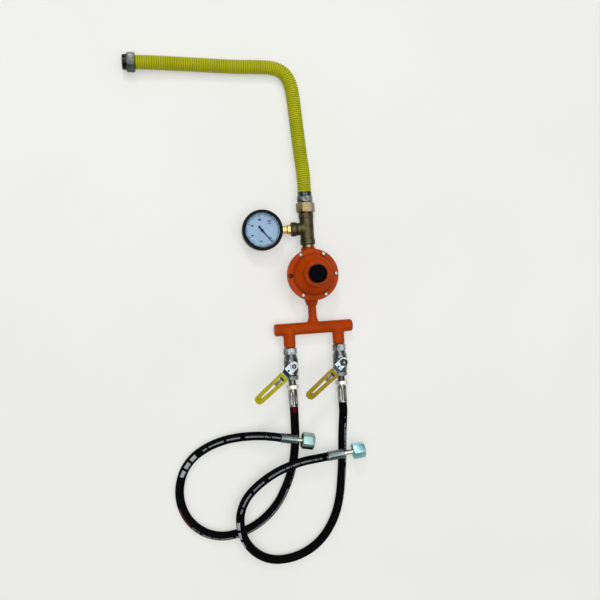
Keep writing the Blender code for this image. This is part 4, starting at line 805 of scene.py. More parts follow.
inlet_collar = turned("inlet_collar", rounded([
    (5, 11), (8, 11), (12.7, 11), (12.7, 12.2), (12.2, 12.8), (12.2, 15.6), (12.7, 16.2), (12.7, 17.5),
    (8, 17.5), (5, 17.5), (5, 11),
], 0.4))
inlet_nut = joined(hexagon("gas_hose_inlet_nut", 24, 0, 11.05), inlet_collar)
settle(inlet_nut, (0, 128.3, PIPE_HEIGHT), FORWARD)
hang(inlet_nut, dark_chrome, "set", "chrome", "gas_hose_inlet_end")

OUTLET_HEX_END = 15
OUTLET_END = 22
MOUTH_RADIUS = 8
MOUTH_BORE = MOUTH_RADIUS - 3
outlet_neck = turned("outlet_neck", [
    (0, 12), (MOUTH_BORE, 12), (MOUTH_BORE, 11.9), (12.2, 11.9), (12.2, OUTLET_HEX_END),
    *thread(13.2, OUTLET_HEX_END, OUTLET_END - 0.8), (11.8, OUTLET_END), (MOUTH_RADIUS + 0.6, OUTLET_END),
    (MOUTH_RADIUS, OUTLET_END - 0.6), (MOUTH_RADIUS, OUTLET_HEX_END), (MOUTH_BORE, 12.4), (0, 12.4),
])
outlet_nut = joined(hexagon("gas_hose_outlet_nut", 30, 0.3, OUTLET_HEX_END), outlet_neck)
settle(outlet_nut, GAS_HOSE_FINISH, GAS_HOSE_HEADING)
hang(outlet_nut, zinc, "set", "zinc", "gas_hose_outlet_end")
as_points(gas_route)

# %% [markdown]
# Between hose and regulator stand a brass bushing, a cast bronze tee and a short nipple. The tee came out of
# a sand mould, so its arms run into each other with soft hollows and its skin is grainy. Its arms are turned
# and joined by a Boolean, then remeshed into one even skin and smoothed, which rounds the inner corners.

# %% Make the bushing, the tee and the nipple
def cast(piece, voxel, rounds):
    """Remeshes a joined piece into one skin and smooths it, as a casting or a weld flows."""
    changed(piece, "REMESH", mode="VOXEL", voxel_size=voxel * MM)
    return changed(piece, "SMOOTH", factor=0.5, iterations=rounds)


bronze = finish(
    "cast_bronze", (68, 61, 42), (100, 91, 66), (0.36, 0.58), 0.5, patches=110, grain=1500, metal=0.9)
brass = finish("machined_brass", (118, 106, 76), (142, 129, 96), (0.22, 0.38), 0.12, patches=90, metal=1.0)
golden_brass = finish(
    "bright_brass", (186, 158, 92), (212, 188, 128), (0.14, 0.26), 0.06, patches=120, metal=1.0)

TEE_MIDDLE = 82
tee = turned("bronze_tee", rounded([
    (0, -27.7), (13.1, -27.7), (13.1, -18.7), (12.2, -17.5), (12.2, 17.5), (13.1, 18.7), (13.1, 27.7),
    (0, 27.7),
], 1.2))
settle(tee, (0, TEE_MIDDLE, PIPE_HEIGHT), FORWARD)
branch = turned("tee_branch", rounded([
    (0, 0), (11, 0), (11, 18.4), (12.6, 20), (12.6, 28.4), (0, 28.4)], 1.2))
settle(branch, (0, TEE_MIDDLE, PIPE_HEIGHT), (-1, 0, 0))
cast(carve(tee, branch, "UNION"), 0.55, 5)
hang(tee, bronze, "set", "bronze", "brass_tee")

bushing = joined(
    hexagon("brass_bushing", 29, 0, 18), turned("bushing_thread", [(0, -2), *thread(8, -2, 0.1), (0, 0.1)]))
settle(bushing, (0, 110, PIPE_HEIGHT), FORWARD)
hang(bushing, brass, "set", "brass", "hex_bushing")

nipple = turned("brass_nipple", [
    (0, -2), *thread(8, -2, 0), (10.4, 0), (11, 0.6), (11, 5.1), (10.4, 5.7), *thread(8, 5.7, 7.7), (0, 7.7)])
settle(nipple, (0, 48.3, PIPE_HEIGHT), FORWARD)
hang(nipple, brass, "set", "brass", "regulator_nipple")

# %% [markdown]
# The regulator is two painted castings clamped round a rubber diaphragm. The base has a boss for the inlet
# and a tapered one for the outlet; the cover rises in a dome to a tall collar for the spring. The cover is
# turned with its hollow. The base is turned solid, joined to its bosses and hollowed last, because the cut
# then also takes off what the bosses left inside. Both hollows leave the working parts their room.

# %% Turn the regulator's base and cover
orange_paint = finish(
    "orange_paint", (158, 55, 3), (174, 64, 6), (0.13, 0.22), 0.1, patches=50, grain=420, shine=0.05)

base = turned("orange_regulator_base", rounded([
    (0, 0), (30, 0), (34, 4), (34, 31.8), (43.5, 33.4), (44.5, 34.4), (44.5, 38.6), (0, 38.6)], 1.0), 96)
inlet_boss = turned("inlet_boss", rounded([(0, 30), (13, 30), (13, 48), (8.3, 48), (0, 48)], 1.0))
outlet_boss = turned("outlet_boss", rounded([
    (0, 30), (13, 30), (13, 40), (8.9, 53), (7.4, 53), (0, 53)], 1.6))
carve(base, settle(inlet_boss, (0, 0, PIPE_HEIGHT), FORWARD), "UNION")
carve(base, settle(outlet_boss, (0, 0, PIPE_HEIGHT), -FORWARD), "UNION")
carve(base, turned("hollow", [(0, 6.5), (31, 6.5), (31, 40), (0, 40)], 96))
hang(base, orange_paint, "set", "orange_paint", "regulator_body")

cover = turned("orange_regulator_cover", rounded([
    (31, 40.4), (44.5, 40.4), (44.5, 45.5), (43.5, 46.5), (36.6, 46.5), (35.4, 48), (33.6, 54.2),
    (30, 59.8), (24.4, 63.5), (22.6, 65.5), (22, 76.6), (20.6, 78), (13.5, 78), (13.5, 60), (23, 57),
    (29, 52), (31, 40.4),
], 1.6), 96)
hang(cover, orange_paint, "set", "orange_paint", "regulator_bonnet")

# %% [markdown]
# Six pan-head screws hold the cover. Their heads are low domes with a cross recess, so a head is turned once
# and two thin bars are cut out of it. Five are bright and one is dark. Copies get their own mesh, and
# each is turned a little further, because no one lines up the recesses of screws.

# %% Make the cover's screws
def box(name, low, high):
    """A block between two corners, in millimetres."""
    low, high = Vector(low) * MM, Vector(high) * MM
    piece = added(name, bpy.ops.mesh.primitive_cube_add, size=1, location=(low + high) / 2)
    piece.scale = high - low
    return fixed(piece)


def copied(piece, name):
    """A copy with its own mesh."""
    take(piece)
    bpy.ops.object.duplicate()
    bpy.context.object.name = name
    return bpy.context.object


SCREW_COUNT = 6
SCREW_CIRCLE = 40
SCREW_SEAT = 46.8
SCREW_TURN = 1.1
DARK_SCREW = 4
steel = finish("satin_steel", (132, 133, 132), (180, 180, 176), (0.2, 0.36), 0.1, patches=120, metal=1.0)
dark_steel = finish("dark_steel", (28, 27, 32), (50, 48, 52), (0.36, 0.55), 0.2, patches=160, metal=0.85)

head = turned("screw_pattern", rounded([
    (0, -3), (2.1, -3), (2.1, 0), (3.6, 0), (3.6, 1.5), (2.9, 2.4), (1.6, 2.8), (0, 2.8)], 0.35), 32)
for long, wide in ((2.3, 0.42), (0.42, 2.3)):
    carve(head, box("recess", (-long, -wide, 1.5), (long, wide, 4)))
for k in range(SCREW_COUNT):
    screw = copied(head, f"cover_screw_{k + 1}")
    place = SCREW_CIRCLE * heading(360 * k / SCREW_COUNT) + SCREW_SEAT * UP
    screw.matrix_world = Matrix.Translation(place * MM) @ Matrix.Rotation(SCREW_TURN * k, 4, "Z")
    look, slot = (dark_steel, "dark_steel") if k + 1 == DARK_SCREW else (steel, "steel")
    hang(fixed(screw), look, "set", slot, f"bonnet_screw_{k + 1}")
bpy.data.objects.remove(head)

# %% [markdown]
# The black knob in the collar sets the pressure by screwing down on the spring. It is moulded with a fine
# grip round its side and a shallow dish on top. The flutes could be cut one by one, but here they are pressed
# into the turned knob: the columns of its side are selected by angle and drawn in towards the axis.

# %% Turn the knob and press its grip
FLUTE_COLUMNS = 8


def drawn_in(piece, count, depth, low, high, least_radius):
    """Presses flutes into a turned piece: columns are drawn in by angle, deepest in the middle of a flute."""
    take(piece)
    bpy.ops.object.mode_set(mode="EDIT")
    for column in range(1, FLUTE_COLUMNS):
        share = 1 - depth * math.sin(math.pi * column / FLUTE_COLUMNS) ** 2
        bpy.ops.mesh.select_all(action="DESELECT")
        mesh = bmesh.from_edit_mesh(piece.data)
        for vertex in mesh.verts:
            turn = math.atan2(vertex.co.y, vertex.co.x) / math.tau * count * FLUTE_COLUMNS
            on_side = low <= vertex.co.z / MM <= high and vertex.co.xy.length / MM > least_radius
            vertex.select_set(on_side and round(turn) % FLUTE_COLUMNS == column)
        bmesh.update_edit_mesh(piece.data)
        bpy.ops.transform.resize(value=(share, share, 1), center_override=(0, 0, 0))
    bpy.ops.object.mode_set(mode="OBJECT")
    return piece


KNOB_FOOT = 78.3
KNOB_FLUTES = 30
KNOB_FLUTE_DEPTH = 0.045
black_plastic = finish(
    "black_plastic", (5, 5, 7), (10, 10, 12), (0.34, 0.5), 0.18, patches=120, grain=1300, shine=0.012)
knob = turned("adjusting_knob", rounded([
    (0, -10), (12.8, -10), (12.8, 0), (15.3, 0), (15.3, 8.4), (14.3, 9.5), (12.2, 9.5), (11.6, 8.5),
    (3.2, 8.5), (2.6, 8.1), (0, 8.1),
], 0.5), FLUTE_COLUMNS * KNOB_FLUTES)
drawn_in(knob, KNOB_FLUTES, KNOB_FLUTE_DEPTH, 0.6, 8.2, 14.5)
settle(knob, (0, 0, KNOB_FOOT))
hang(knob, black_plastic, "adjuster", "black_plastic", "adjuster_knob")

# %% [markdown]
# The gauge is a black tin can with a rolled rim and a flat glass. All three are turned. The glass lets light
# through, and a thin uneven film on it blurs the reflections here and there, as on real glass.

# %% Turn the gauge's case, rim and glass
GAUGE_PLACE = (-80.2, TEE_MIDDLE, 0)
GLASS_BENDING = 1.1
FILM_SCALE = 90
FILM_BLUR = 0.05
black_enamel = finish("black_enamel", (5, 8, 12), (10, 14, 20), (0.2, 0.32), 0.06, patches=70, shine=0.07)

case = turned("gauge_case_can", rounded([
    (0, 4), (32.4, 4), (33.8, 5.4), (33.8, 27.5), (31.6, 27.5), (31.6, 6.2), (0, 6.2)], 1.2), 96)
hang(settle(case, GAUGE_PLACE), black_enamel, "set", "black_plastic", "gauge_case")
rim = turned("gauge_rim", rounded([
    (34.1, 22), (34.1, 21.5), (35.3, 21.5), (35.3, 31.2), (33.8, 32.7), (30.8, 32.7), (29.5, 30.5),
    (34.1, 30.5), (34.1, 22),
], 0.9), 128)
hang(settle(rim, GAUGE_PLACE), black_enamel, "set", "black_plastic", "gauge_bezel")

glass = bpy.data.materials.new("clear_glass")
glass.use_nodes = True
pane = glass.node_tree
smear = add_node(pane, "TexNoise", {
    "Vector": add_node(pane, "TexCoord").outputs["Object"], "Scale": FILM_SCALE})
film = add_node(pane, "MapRange", {"Value": smear.outputs["Fac"], "To Max": FILM_BLUR})
feed(pane, pane.nodes["Principled BSDF"], {
    "Base Color": (0.97, 0.98, 1.0, 1), "Transmission Weight": 1.0, "IOR": GLASS_BENDING,
    "Roughness": film.outputs["Result"]})
lens = turned("gauge_glass", rounded([(0, 27.8), (33.5, 27.8), (33.5, 30.2), (0, 30.2)], 0.3), 96)
hang(settle(lens, GAUGE_PLACE), glass, "set", "lens", "gauge_lens")

# %% [markdown]
# The dial is white and its marks are printed, so they are thin flat pieces lying on it: one mark is made for
# each place round the dial, the numbers are text turned into mesh, and all are joined. The scale runs
# clockwise over three quarters of a turn, with its gap at the connection.

# %% Print the gauge's dial
DIAL_TOP = 23.2
SCALE_START = -45
SCALE_SWEEP = 270
SCALE_PARTS = 50
# Marks at every so many parts: their length and their width
MARK_SIZES = ((10, 5.2, 0.85), (5, 4, 0.6), (1, 2.8, 0.4))
MARK_END = 28.4
LINE_INSIDE, LINE_OUTSIDE = 28.3, 28.7
LAST_NUMBER = 10
NUMBER_STEP = 2
NUMBER_CIRCLE = 19
NUMBER_SIZE = 7.4
NUMBER_WEIGHT = 0.22
INK = 0.06

dial_white = finish(
    "dial_white", (158, 188, 214), (168, 197, 221), (0.4, 0.5), 0.03, patches=40, shine=0.05)
dial_ink = finish("dial_ink", (14, 16, 30), (22, 25, 40), (0.4, 0.5), 0.02, shine=0.1)
dial = turned("gauge_face", rounded([(1.4, 22.4), (31, 22.4), (31, 23.2), (1.4, 23.2), (1.4, 22.4)], 0.1), 96)
marks = []
for part in range(SCALE_PARTS + 1):
    long, wide = next((long, wide) for every, long, wide in MARK_SIZES if part % every == 0)
    mark = box("mark", (MARK_END - long, -wide / 2, 0), (MARK_END, wide / 2, INK))
    mark.matrix_world = Matrix.Rotation(math.radians(SCALE_START - SCALE_SWEEP * part / SCALE_PARTS), 4, "Z")
    marks.append(mark)
for number in range(0, LAST_NUMBER + 1, NUMBER_STEP):
    text = added("number", bpy.ops.object.text_add).data
    text.body = str(number)
    text.size = NUMBER_SIZE * MM
    text.offset = NUMBER_WEIGHT * MM
    text.align_x = "CENTER"
    text.align_y = "CENTER"
    text.extrude = INK * MM / 2
    bpy.ops.object.convert(target="MESH")
    clean()
    figure = bpy.context.object
    place = NUMBER_CIRCLE * heading(SCALE_START - SCALE_SWEEP * number / LAST_NUMBER)
    figure.matrix_world = Matrix.Translation(place * MM) @ Matrix.Rotation(math.pi / 2, 4, "Z")
    marks.append(figure)
marks.append(turned("scale_line", [
    (LINE_INSIDE, 0), (LINE_OUTSIDE, 0), (LINE_OUTSIDE, INK), (LINE_INSIDE, INK), (LINE_INSIDE, 0)], 128))
scale = settle(joined(*[fixed(mark) for mark in marks]), (0, 0, DIAL_TOP))
scale.data.materials.clear()
joined(coated(dial, dial_white), coated(scale, dial_ink))
hang(settle(dial, GAUGE_PLACE), dial_white, "set", "dial", "gauge_dial")

# %% [markdown]
# The hand is a thin stamped needle with a heavy tail and a round hub. It rides on its own body, because it
# swings with the pressure. The hexagon that carries the gauge is bright brass and has a round shank into
# the case.

# %% Make the gauge's hand and its brass stem
def slab(name, outline, low, high):
    """An outline of (x, y) filled and pulled up between two heights, all in millimetres."""
    piece = drawn(name, [Vector((x, y, low)) * MM for x, y in outline])
    bpy.ops.mesh.edge_face_add()
    bpy.ops.mesh.extrude_region_move(TRANSFORM_OT_translate={"value": (0, 0, (high - low) * MM)})
    clean()
    return piece


NEEDLE_REST = -52
needle_black = finish("needle_black", (10, 12, 24), (18, 20, 32), (0.4, 0.5), 0.05, shine=0.1)
needle = slab("gauge_needle", [
    (-9.4, -2.1), (-4, -1.3), (0, -1.2), (25.4, -0.6), (27.6, 0), (25.4, 0.6), (0, 1.2), (-4, 1.3),
    (-9.4, 2.1),
], 24.4, 25.2)
hub = turned("needle_hub", rounded([
    (0, 9.3), (0.8, 9.3), (0.8, 24), (2.6, 24), (2.6, 25.2), (1.6, 25.6), (0, 25.6)], 0.3))
joined(soften(needle, 0.12), hub)
settle(needle, GAUGE_PLACE, UP, NEEDLE_REST)
hang(needle, needle_black, "gauge_hand", "dark_steel", "gauge_pointer")

stem_hex = joined(
    hexagon("gauge_stem_hexagon", 15.4, 44.5, 51.5),
    hexagon("gauge_neck_hexagon", 12.4, 36.1, 44.6),
    turned("gauge_shank", rounded([(0, 31.8), (5.5, 31.8), (5.5, 36.2), (0, 36.2)], 0.2)),
    turned("gauge_thread", [(0, 51.4), *thread(6, 51.4, 54.2, 1.3, 0.6), (0, 54.2)]))
settle(stem_hex, (GAUGE_PLACE[0], TEE_MIDDLE, PIPE_HEIGHT), (1, 0, 0))
hang(stem_hex, golden_brass, "set", "brass", "gauge_socket")

# %% [markdown]
# The manifold is pipe welded and painted: a bar with closed ends, a stub up to the regulator and two legs
# down to the valves. Its corners are filled with weld and thick paint. The pipes are turned, the stub with
# a flare where it meets the bar, joined by Booleans, and then given one smooth skin like the tee.

# %% Weld the manifold
BAR_PLACE = -92
PIPE_SIDES = 72
manifold = turned("orange_manifold", rounded([
    (0, -69.75), (9.2, -69.75), (10.65, -67.5), (10.65, 67.5), (9.2, 69.75), (0, 69.75)], 2.2), PIPE_SIDES)
settle(manifold, (0, BAR_PLACE, PIPE_HEIGHT), (1, 0, 0))
stub = turned("stub", rounded([(0, 41), (7.3, 41), (7.3, 74), (11, 84), (11, 92), (0, 92)], 4), PIPE_SIDES)
carve(manifold, settle(stub, (0, 0, PIPE_HEIGHT), -FORWARD), "UNION")
for sign in SIDES.values():
    leg = turned("leg", rounded([
        (0, 92), (11.6, 92), (11.6, 101), (10.4, 106), (10.4, 123.5), (0, 123.5)], 2.4), PIPE_SIDES)
    carve(manifold, settle(leg, (sign * LEG_PLACE, 0, PIPE_HEIGHT), -FORWARD), "UNION")
cast(manifold, 0.7, 14)
hang(manifold, orange_paint, "set", "orange_paint", "manifold")

# %% [markdown]
# A ball valve is a plated brass body with a hexagon at one end, a bulge for the ball, a boss for the stem
# and a screwed end piece. The left one is modelled with its pocket and its bore, and the right one is a copy.

# %% Turn the ball valves
VALVE_START = -123.8
VALVE_END = -172.3
VALVE_FLATS = 20.6
STEM_PLACE = 30.8


def on_stem(piece):
    """Stands a turned piece on the stem's axis, in a valve that lies along Z."""
    piece.matrix_world = Matrix.Translation((0, 0, STEM_PLACE * MM)) @ Matrix.Rotation(-math.pi / 2, 4, "X")
    return fixed(piece)


def hang_pair(piece, look, slot, node):
    """Hangs a piece on the left leg, and its copy on the right leg."""
    twin = copied(piece, piece.name.replace("left", "right"))
    twin.matrix_world = Matrix.Translation((2 * LEG_PLACE * MM, 0, 0))
    hang(piece, look, "set", slot, f"left_{node}")
    hang(fixed(twin), look, "set", slot, f"right_{node}")


chrome = finish("chrome_plate", (80, 84, 84), (150, 155, 156), (0.2, 0.34), 0.06, patches=120, metal=1.0)

valve = hexagon("left_ball_valve", VALVE_FLATS, 0, 12.4)
bulge = turned("bulge", rounded([
    (0, 10), (9.2, 10), (9.8, 12.2), (11, 15.5), (12.6, 21.2), (12.6, 39), (11.2, 45.2), (10.8, 48.2),
    (0, 48.2)], 3))
boss = turned("stem_boss", rounded([(0, 6), (9, 6), (9, 10.6), (7.5, 13), (7.5, 17), (0, 17)], 0.8))
pocket = turned("pocket", [(0, -1), (5, -1), (5, 21.8), (9, 21.8), (9, 49), (0, 49)], 48)
stem_hole = turned("stem_hole", [(0, 4), (4.5, 4), (4.5, 18), (0, 18)], 32)
carve(valve, bulge, "UNION")
carve(valve, on_stem(boss), "UNION")
carve(valve, pocket)
carve(valve, on_stem(stem_hole))
end_nut = hexagon("left_valve_end_nut", VALVE_FLATS, 0, 7.7)
settle(valve, (-LEG_PLACE, VALVE_START, PIPE_HEIGHT), -FORWARD)
settle(end_nut, (-LEG_PLACE, VALVE_END, PIPE_HEIGHT), -FORWARD)
hang_pair(valve, chrome, "chrome", "valve_body")
hang_pair(end_nut, dark_chrome, "chrome", "valve_end")

# %% [markdown]
# The lever is a strip of steel, bent up from the stem and narrowed to a tongue. It could be bent in Blender
# too, but seen from the side the strip is one outline and from above another, so two slabs are made and what
# they share is kept. Its slope carries painted shade, dark blue on one lever and grey on the other, so it has
# a material of its own.

# %% Bend the lever
TONGUE_START = 22.6
SLOPE_START = 14.6


def arc(middle, radius, start, end, steps):
    """Points on an arc, angles in degrees."""
    turns = [math.radians(start + (end - start) * k / steps) for k in range(steps + 1)]
    return [(middle[0] + radius * math.cos(turn), middle[1] + radius * math.sin(turn)) for turn in turns]


lever_steel = finish(
    "lever_steel", (132, 144, 150), (186, 197, 204), (0.16, 0.3), 0.12, patches=150, grain=260,
    stretch=(1, 9, 1), metal=1.0)
tongue_steel = finish(
    "tongue_steel", (98, 90, 80), (134, 126, 112), (0.5, 0.65), 0.2, patches=140, metal=0.5)
# The slopes' looks are painted shade: darker than the plate, dark blue on the left lever and grey on the
# right
slope_shade_looks = {
    "left": finish("blued_steel", (34, 38, 62), (56, 62, 90), (0.4, 0.55), 0.1, patches=140, metal=0.6),
    "right": finish("grey_steel", (84, 102, 118), (118, 136, 150), (0.4, 0.55), 0.1, patches=140, metal=0.6),
}

lever_pattern = slab("lever_pattern", rounded([
    (-9, 38), (15.6, 38), (22.2, 50.4), (48, 50.4), (48, 52.6), (21.2, 52.6), (14.6, 40.2), (-9, 40.2),
], 1.2), -8, 8)
lever_pattern.matrix_world = Matrix.Rotation(math.pi / 2, 4, "X")
lever_plan = slab("lever_plan", [
    *arc((-1, 0), 7.5, 90, 270, 16), (22.2, -7.5), (22.2, -2.2), *arc((43.8, 0), 2.2, -90, 90, 8),
    (22.2, 2.2), (22.2, 7.5),
], 30, 60)
carve(fixed(lever_pattern), lever_plan, "INTERSECT")
carve(lever_pattern, turned("stud_hole", [(0, 36), (3.3, 36), (3.3, 42), (0, 42)], 32))
rivet_hole = turned("rivet_hole", [(0, 36), (1.9, 36), (1.9, 42), (0, 42)], 24)
carve(lever_pattern, settle(rivet_hole, (11.4, 0, 0)))
soften(lever_pattern, 0.3)
for look in (lever_steel, tongue_steel, slope_shade_looks["left"]):
    coated(lever_pattern, look)
for face in lever_pattern.data.polygons:
    if face.center.x > TONGUE_START * MM:
        face.material_index = 1
    # Faces of the slope take the painted shade
    elif face.center.x > SLOPE_START * MM and abs(face.normal.z) < 0.8:
        face.material_index = 2
print(lever_pattern.name, len(lever_pattern.data.polygons), "faces")

# %% [markdown]
# Over the tongue goes a dipped yellow plastic loop, with a slot through it and a dimple at its end. A locking
# nut with a plastic ring holds the lever on the stem's stud. They are made once as patterns, lying along X
# over the origin like the lever.

# %% Mould the grip and turn the nut and the stud
nylon = finish("nylon_ring", (216, 219, 222), (230, 232, 234), (0.35, 0.45), 0.05, shine=0.3)

grip_pattern = slab("grip_pattern", [
    *arc((24.6, -6.7), 2, 180, 270, 6), *arc((80.7, 0), 7.8, -90, 90, 24), *arc((24.6, 6.7), 2, 90, 180, 6),
], 48.9, 54.1)
carve(grip_pattern, slab("grip_slot", [
    (28.4, -4.6), (46, -2.6), *arc((75, 0), 1.5, -90, 90, 12), (46, 2.6), (28.4, 4.6)], 40, 60))
dimple = turned("dimple", [(0, 53), (2, 53), (2.6, 55), (0, 55)], 24)
carve(grip_pattern, settle(dimple, (81.6, 0, 0)))
soften(grip_pattern, 1.6, 4, 60)
# A dark bar at the root of the slot is painted shade, where the slot looks deep
slot_root_shade = slab("slot_root_shade", [(27.6, -4.4), (31.6, -3.9), (31.6, 3.9), (27.6, 4.4)], 52.7, 53.2)
nut_pattern = hexagon("nut_pattern", 12, 40.5, 44.2)
ring_pattern = turned("ring_pattern", rounded([
    (4.2, 44), (6.1, 44), (6.1, 44.9), (5.6, 45.6), (4.2, 45.6), (4.2, 44)], 0.3), 48)
stud_pattern = turned("stud_pattern", [
    (0, 25.2), (3.9, 25.2), (3.9, 37.7), (3, 37.7), (3, 40.5), *thread(3, 40.5, 45.6, 0.8, 0.35),
    (2.5, 46.1), (0, 46.1)], 40)
# A small pale disc on the stud's end is a painted highlight
stud_end = turned("stud_end", [(0, 46), (1.4, 46), (1.4, 46.2), (0, 46.2)], 24)
joined(coated(stud_pattern, dark_steel), coated(stud_end, nylon))
patterns = (lever_pattern, grip_pattern, slot_root_shade, nut_pattern, ring_pattern, stud_pattern)
print("patterns", [pattern.name for pattern in patterns])

# %% [markdown]
# Both levers stand half open in the photograph, at the same angle. Each gets copies of the patterns, turned
# to that heading over its own stem. Age has left one grip lemon and the other amber, so their looks differ.

# %% Put the levers on the valves
LEVER_HEADING = 218
STEM_Y = VALVE_START - STEM_PLACE
grip_looks = {
    "left": finish("grip_yellow", (154, 148, 7), (176, 168, 14), (0.3, 0.42), 0.1, patches=70, shine=0.1),
    "right": finish("grip_amber", (138, 122, 7), (164, 136, 12), (0.3, 0.42), 0.1, patches=70, shine=0.1),
}
ring_looks = {"left": nylon, "right": dark_steel}


def hang_on_lever(piece, side, look, slot, node):
    """Turns a piece that lies along X to the lever's heading over its stem, and hangs it there."""
    place = Vector((SIDES[side] * LEG_PLACE, STEM_Y, 0)) * MM
    piece.matrix_world = Matrix.Translation(place) @ Matrix.Rotation(math.radians(LEVER_HEADING), 4, "Z")
    hang(fixed(piece), look, f"{side}_valve_lever", slot, f"{side}_{node}")


for side in SIDES:
    plate = copied(lever_pattern, f"{side}_lever_plate")
    # This side's painted shade goes on the slope
    plate.data.materials[2] = slope_shade_looks[side]
    hang_on_lever(plate, side, lever_steel, "steel", "lever")
    loop = coated(copied(grip_pattern, f"{side}_lever_grip"), grip_looks[side])
    # The dark bar at the slot's root is painted shade
    painted_root_shade = coated(copied(slot_root_shade, "painted_root_shade"), dark_steel)
    hang_on_lever(joined(loop, painted_root_shade), side, grip_looks[side], "yellow_grip", "grip")
    lock_nut = coated(copied(nut_pattern, f"{side}_lock_nut"), zinc)
    ring = coated(copied(ring_pattern, "ring"), ring_looks[side])
    hang_on_lever(joined(lock_nut, ring), side, zinc, "chrome", "lever_nut")
    hang_on_lever(copied(stud_pattern, f"{side}_stem_stud"), side, dark_steel, "steel", "valve_stem")
for pattern in patterns:
    bpy.data.objects.remove(pattern)

# %% [markdown]
# At the valve each hose has a screwed tail with a dark thread and a bright hexagon, and a ferrule crimped
# over the rubber. A crimping press has a ring of jaws, so the ferrule ends up fluted between two plain rims.
# It is turned and its middle drawn in column by column, as on the knob, only deeper.

# %% Crimp the hoses at the valves
TAIL_START = -180
FERRULE_BORE = 4.1
FERRULE_FLUTES = 8
FERRULE_STEPS = 14
VALVE_CRIMP_DEPTH = 0.11


def ferrule(name, radius, start, end, depth):
    """A crimped ferrule along Z."""
    span = end - start - 5
    outline = [(FERRULE_BORE, start), (radius - 0.8, start), (radius, start + 0.8), (radius, start + 2.2)]
    outline += [(radius, start + 2.5 + span * k / FERRULE_STEPS) for k in range(FERRULE_STEPS + 1)]
    outline += [(radius, end - 2.2), (radius, end - 0.8), (radius - 0.8, end)]
    outline += [(FERRULE_BORE, end), (FERRULE_BORE, start)]
    piece = turned(name, outline, FLUTE_COLUMNS * FERRULE_FLUTES)
    return drawn_in(piece, FERRULE_FLUTES, depth, start + 3.4, end - 3.4, FERRULE_BORE + 0.5)


bright_zinc = finish(
    "bright_zinc", (176, 176, 162), (214, 213, 196), (0.16, 0.3), 0.1, patches=120, metal=1.0)
crimp_zinc = finish(
    "crimp_zinc", (112, 114, 111), (168, 169, 164), (0.1, 0.24), 0.08, patches=110, metal=1.0)

tail_hex = hexagon("left_hose_tail_hexagon", 19, 8.3, 15.3)
tail_thread = turned("tail_thread", [(0, -0.2), *thread(6.8, 0, 8.4, 1.5, 0.75), (0, 8.4)], 48)
tail_neck = turned("tail_neck", [(0, 15.2), (5.5, 15.2), (5.5, 17.6), (0, 17.6)], 48)
tail = joined(
    coated(tail_hex, bright_zinc), coated(tail_thread, crimp_zinc), coated(tail_neck, bright_zinc))
crimp = ferrule("left_hose_crimp", 8.2, 17.3, 46.8, VALVE_CRIMP_DEPTH)
for piece in (tail, crimp):
    settle(piece, (-LEG_PLACE, TAIL_START, PIPE_HEIGHT), -FORWARD)
hang_pair(tail, bright_zinc, "brass", "hose_tail")
hang_pair(crimp, crimp_zinc, "zinc", "hose_ferrule")

# %% [markdown]
# At the cylinder each hose has a longer ferrule, a tail with a rounded nose and a large swivel nut, which
# turns freely on the tail. The nut is bored and threaded inside, so a turned tool with ridges is cut out of
# it once, and each side gets a copy.

# %% Make the cylinder ends
NUT_LENGTH = 21.5
NUT_BACK = 4
END_CRIMP_LENGTH = 29
END_CRIMP_DEPTH = 0.045
TAIL_RADIUS = 4.4
TAIL_BORE = 2.4
NOSE_RADIUS = 8.5
nut_looks = {
    "left": finish(
        "cylinder_nut_zinc", (118, 146, 142), (150, 176, 172), (0.14, 0.28), 0.1, patches=110, metal=1.0),
    "right": finish(
        "pale_nut_zinc", (158, 210, 220), (182, 230, 238), (0.26, 0.4), 0.1, patches=110, metal=1.0),
}
dull_zinc = finish(
    "ferrule_zinc", (98, 110, 110), (136, 149, 149), (0.2, 0.36), 0.14, patches=130, metal=1.0)

nut_blank = hexagon("swivel_nut_pattern", 25, 0, NUT_LENGTH)
carve(nut_blank, turned("nut_bore", [
    (0, -1), (5, -1), (5, NUT_BACK), *thread(10.6, NUT_BACK, NUT_LENGTH - 1, 1.7, 0.7), (11, NUT_LENGTH + 1),
    (0, NUT_LENGTH + 1)], 64))
for side in SIDES:
    fitting, pointing, bare_tail, spin = CYLINDER_ENDS[side]
    nut_start = END_CRIMP_LENGTH + 0.3 + bare_tail
    nose = nut_start + NUT_BACK + 0.6
    end_crimp = ferrule(f"{side}_end_crimp", 8.5, 0, END_CRIMP_LENGTH, END_CRIMP_DEPTH)
    end_tail = turned(f"{side}_end_tail", rounded([
        (0, 27), (TAIL_RADIUS, 27), (TAIL_RADIUS, nose), (NOSE_RADIUS, nose), (NOSE_RADIUS, nose + 3),
        (TAIL_RADIUS, nose + 7), (TAIL_BORE, nose + 7), (TAIL_BORE, nose - 6), (0, nose - 6)], 0.5), 48)
    nut = copied(nut_blank, f"{side}_swivel_hexagon")
    for piece in (end_crimp, end_tail):
        settle(piece, fitting, pointing)
    settle(nut, fitting + nut_start * pointing, pointing, spin)
    hang(end_crimp, dull_zinc, "set", "zinc", f"{side}_cylinder_ferrule")
    hang(end_tail, bright_zinc, "set", "zinc", f"{side}_cylinder_tail")
    hang(nut, nut_looks[side], f"{side}_swivel_nut", "zinc", f"{side}_cylinder_nut")
    route, length = rubber_routes[side]
    tuple(route[0])
    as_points(route)
bpy.data.objects.remove(nut_blank)
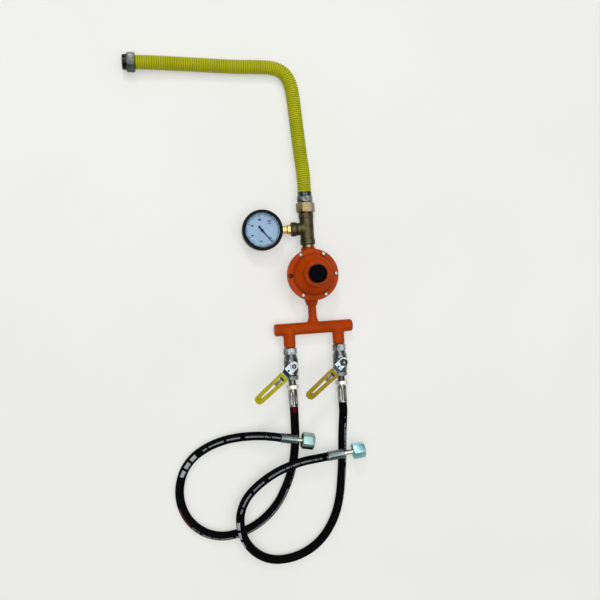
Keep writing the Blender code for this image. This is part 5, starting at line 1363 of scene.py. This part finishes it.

# %% [markdown]
# One working part inside the regulator changes its shape: the spring shortens when the knob's follower comes
# down on it and when the diaphragm rises under it. A rigid spring would be cut by both. So it is wound as two
# halves, each by a Screw modifier from one ring of wire.

# %% Wind the regulator's spring
SPRING_RADIUS = 10
WIRE_RADIUS = 0.9
WIRE_SIDES = 16
COIL_STEPS = 80
SPRING_HALF_TURNS = 2.5
SPRING_LOW, SPRING_HIGH = (corner[2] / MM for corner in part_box("regulator_spring"))
SPRING_MIDDLE = (SPRING_LOW + SPRING_HIGH) / 2
PLATE_TRAVEL = 2
FOLLOWER_TRAVEL = 3
spring_steel = finish(
    "spring_steel", (120, 122, 126), (170, 172, 176), (0.25, 0.4), 0.08, patches=150, metal=1.0)


def wound(name, low, high, start):
    """Half of a coil spring between two heights, from a heading in degrees."""
    piece = fixed(added(
        name, bpy.ops.mesh.primitive_circle_add, vertices=WIRE_SIDES, radius=WIRE_RADIUS * MM,
        location=(SPRING_RADIUS * MM, 0, 0), rotation=(math.pi / 2, 0, 0)))
    changed(
        piece, "SCREW", angle=SPRING_HALF_TURNS * math.tau, screw_offset=(high - low) * MM,
        steps=COIL_STEPS, render_steps=COIL_STEPS)
    bpy.ops.object.mode_set(mode="EDIT")
    bpy.ops.mesh.select_all(action="SELECT")
    bpy.ops.mesh.fill_holes(sides=WIRE_SIDES)
    clean()
    return settle(piece, (0, 0, low), UP, start)


lower_spring = wound("lower_spring_half", SPRING_LOW + WIRE_RADIUS, SPRING_MIDDLE, 0)
upper_spring = wound(
    "upper_spring_half", SPRING_MIDDLE, SPRING_HIGH - WIRE_RADIUS, 360 * SPRING_HALF_TURNS)
for half, joint, travel in (
        (lower_spring, "plate_slide", PLATE_TRAVEL), (upper_spring, "spring_button_slide", FOLLOWER_TRAVEL)):
    hang(half, spring_steel, "set", "steel", "regulator_spring")
    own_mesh(half)

# %% [markdown]
# The other working parts of the regulator, the gauge and the valves keep their CAD shapes, because nothing of
# them shows. They still get the finish of what they are made of, so that a cut through the model looks right.

# %% Dress the working parts
diaphragm_rubber = finish("diaphragm_rubber", (16, 16, 17), (28, 28, 29), (0.55, 0.7), 0.25, grain=1200)
INNER_LOOKS = (
    (spring_steel, ("diaphragm_plate", "spring_follower", "relay_lever", "relay_pin")),
    (diaphragm_rubber, ("regulator_diaphragm", "valve_plunger")),
    (golden_brass, ("gauge_bourdon_tube", "gauge_sector", "gauge_movement", "inlet_orifice")),
    (chrome, ("left_valve_ball", "right_valve_ball")),
)
for look, names in INNER_LOOKS:
    for name in names:
        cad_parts[name].data.materials.clear()
        coated(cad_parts[name], look)
    print(look.name, "on", ", ".join(names))
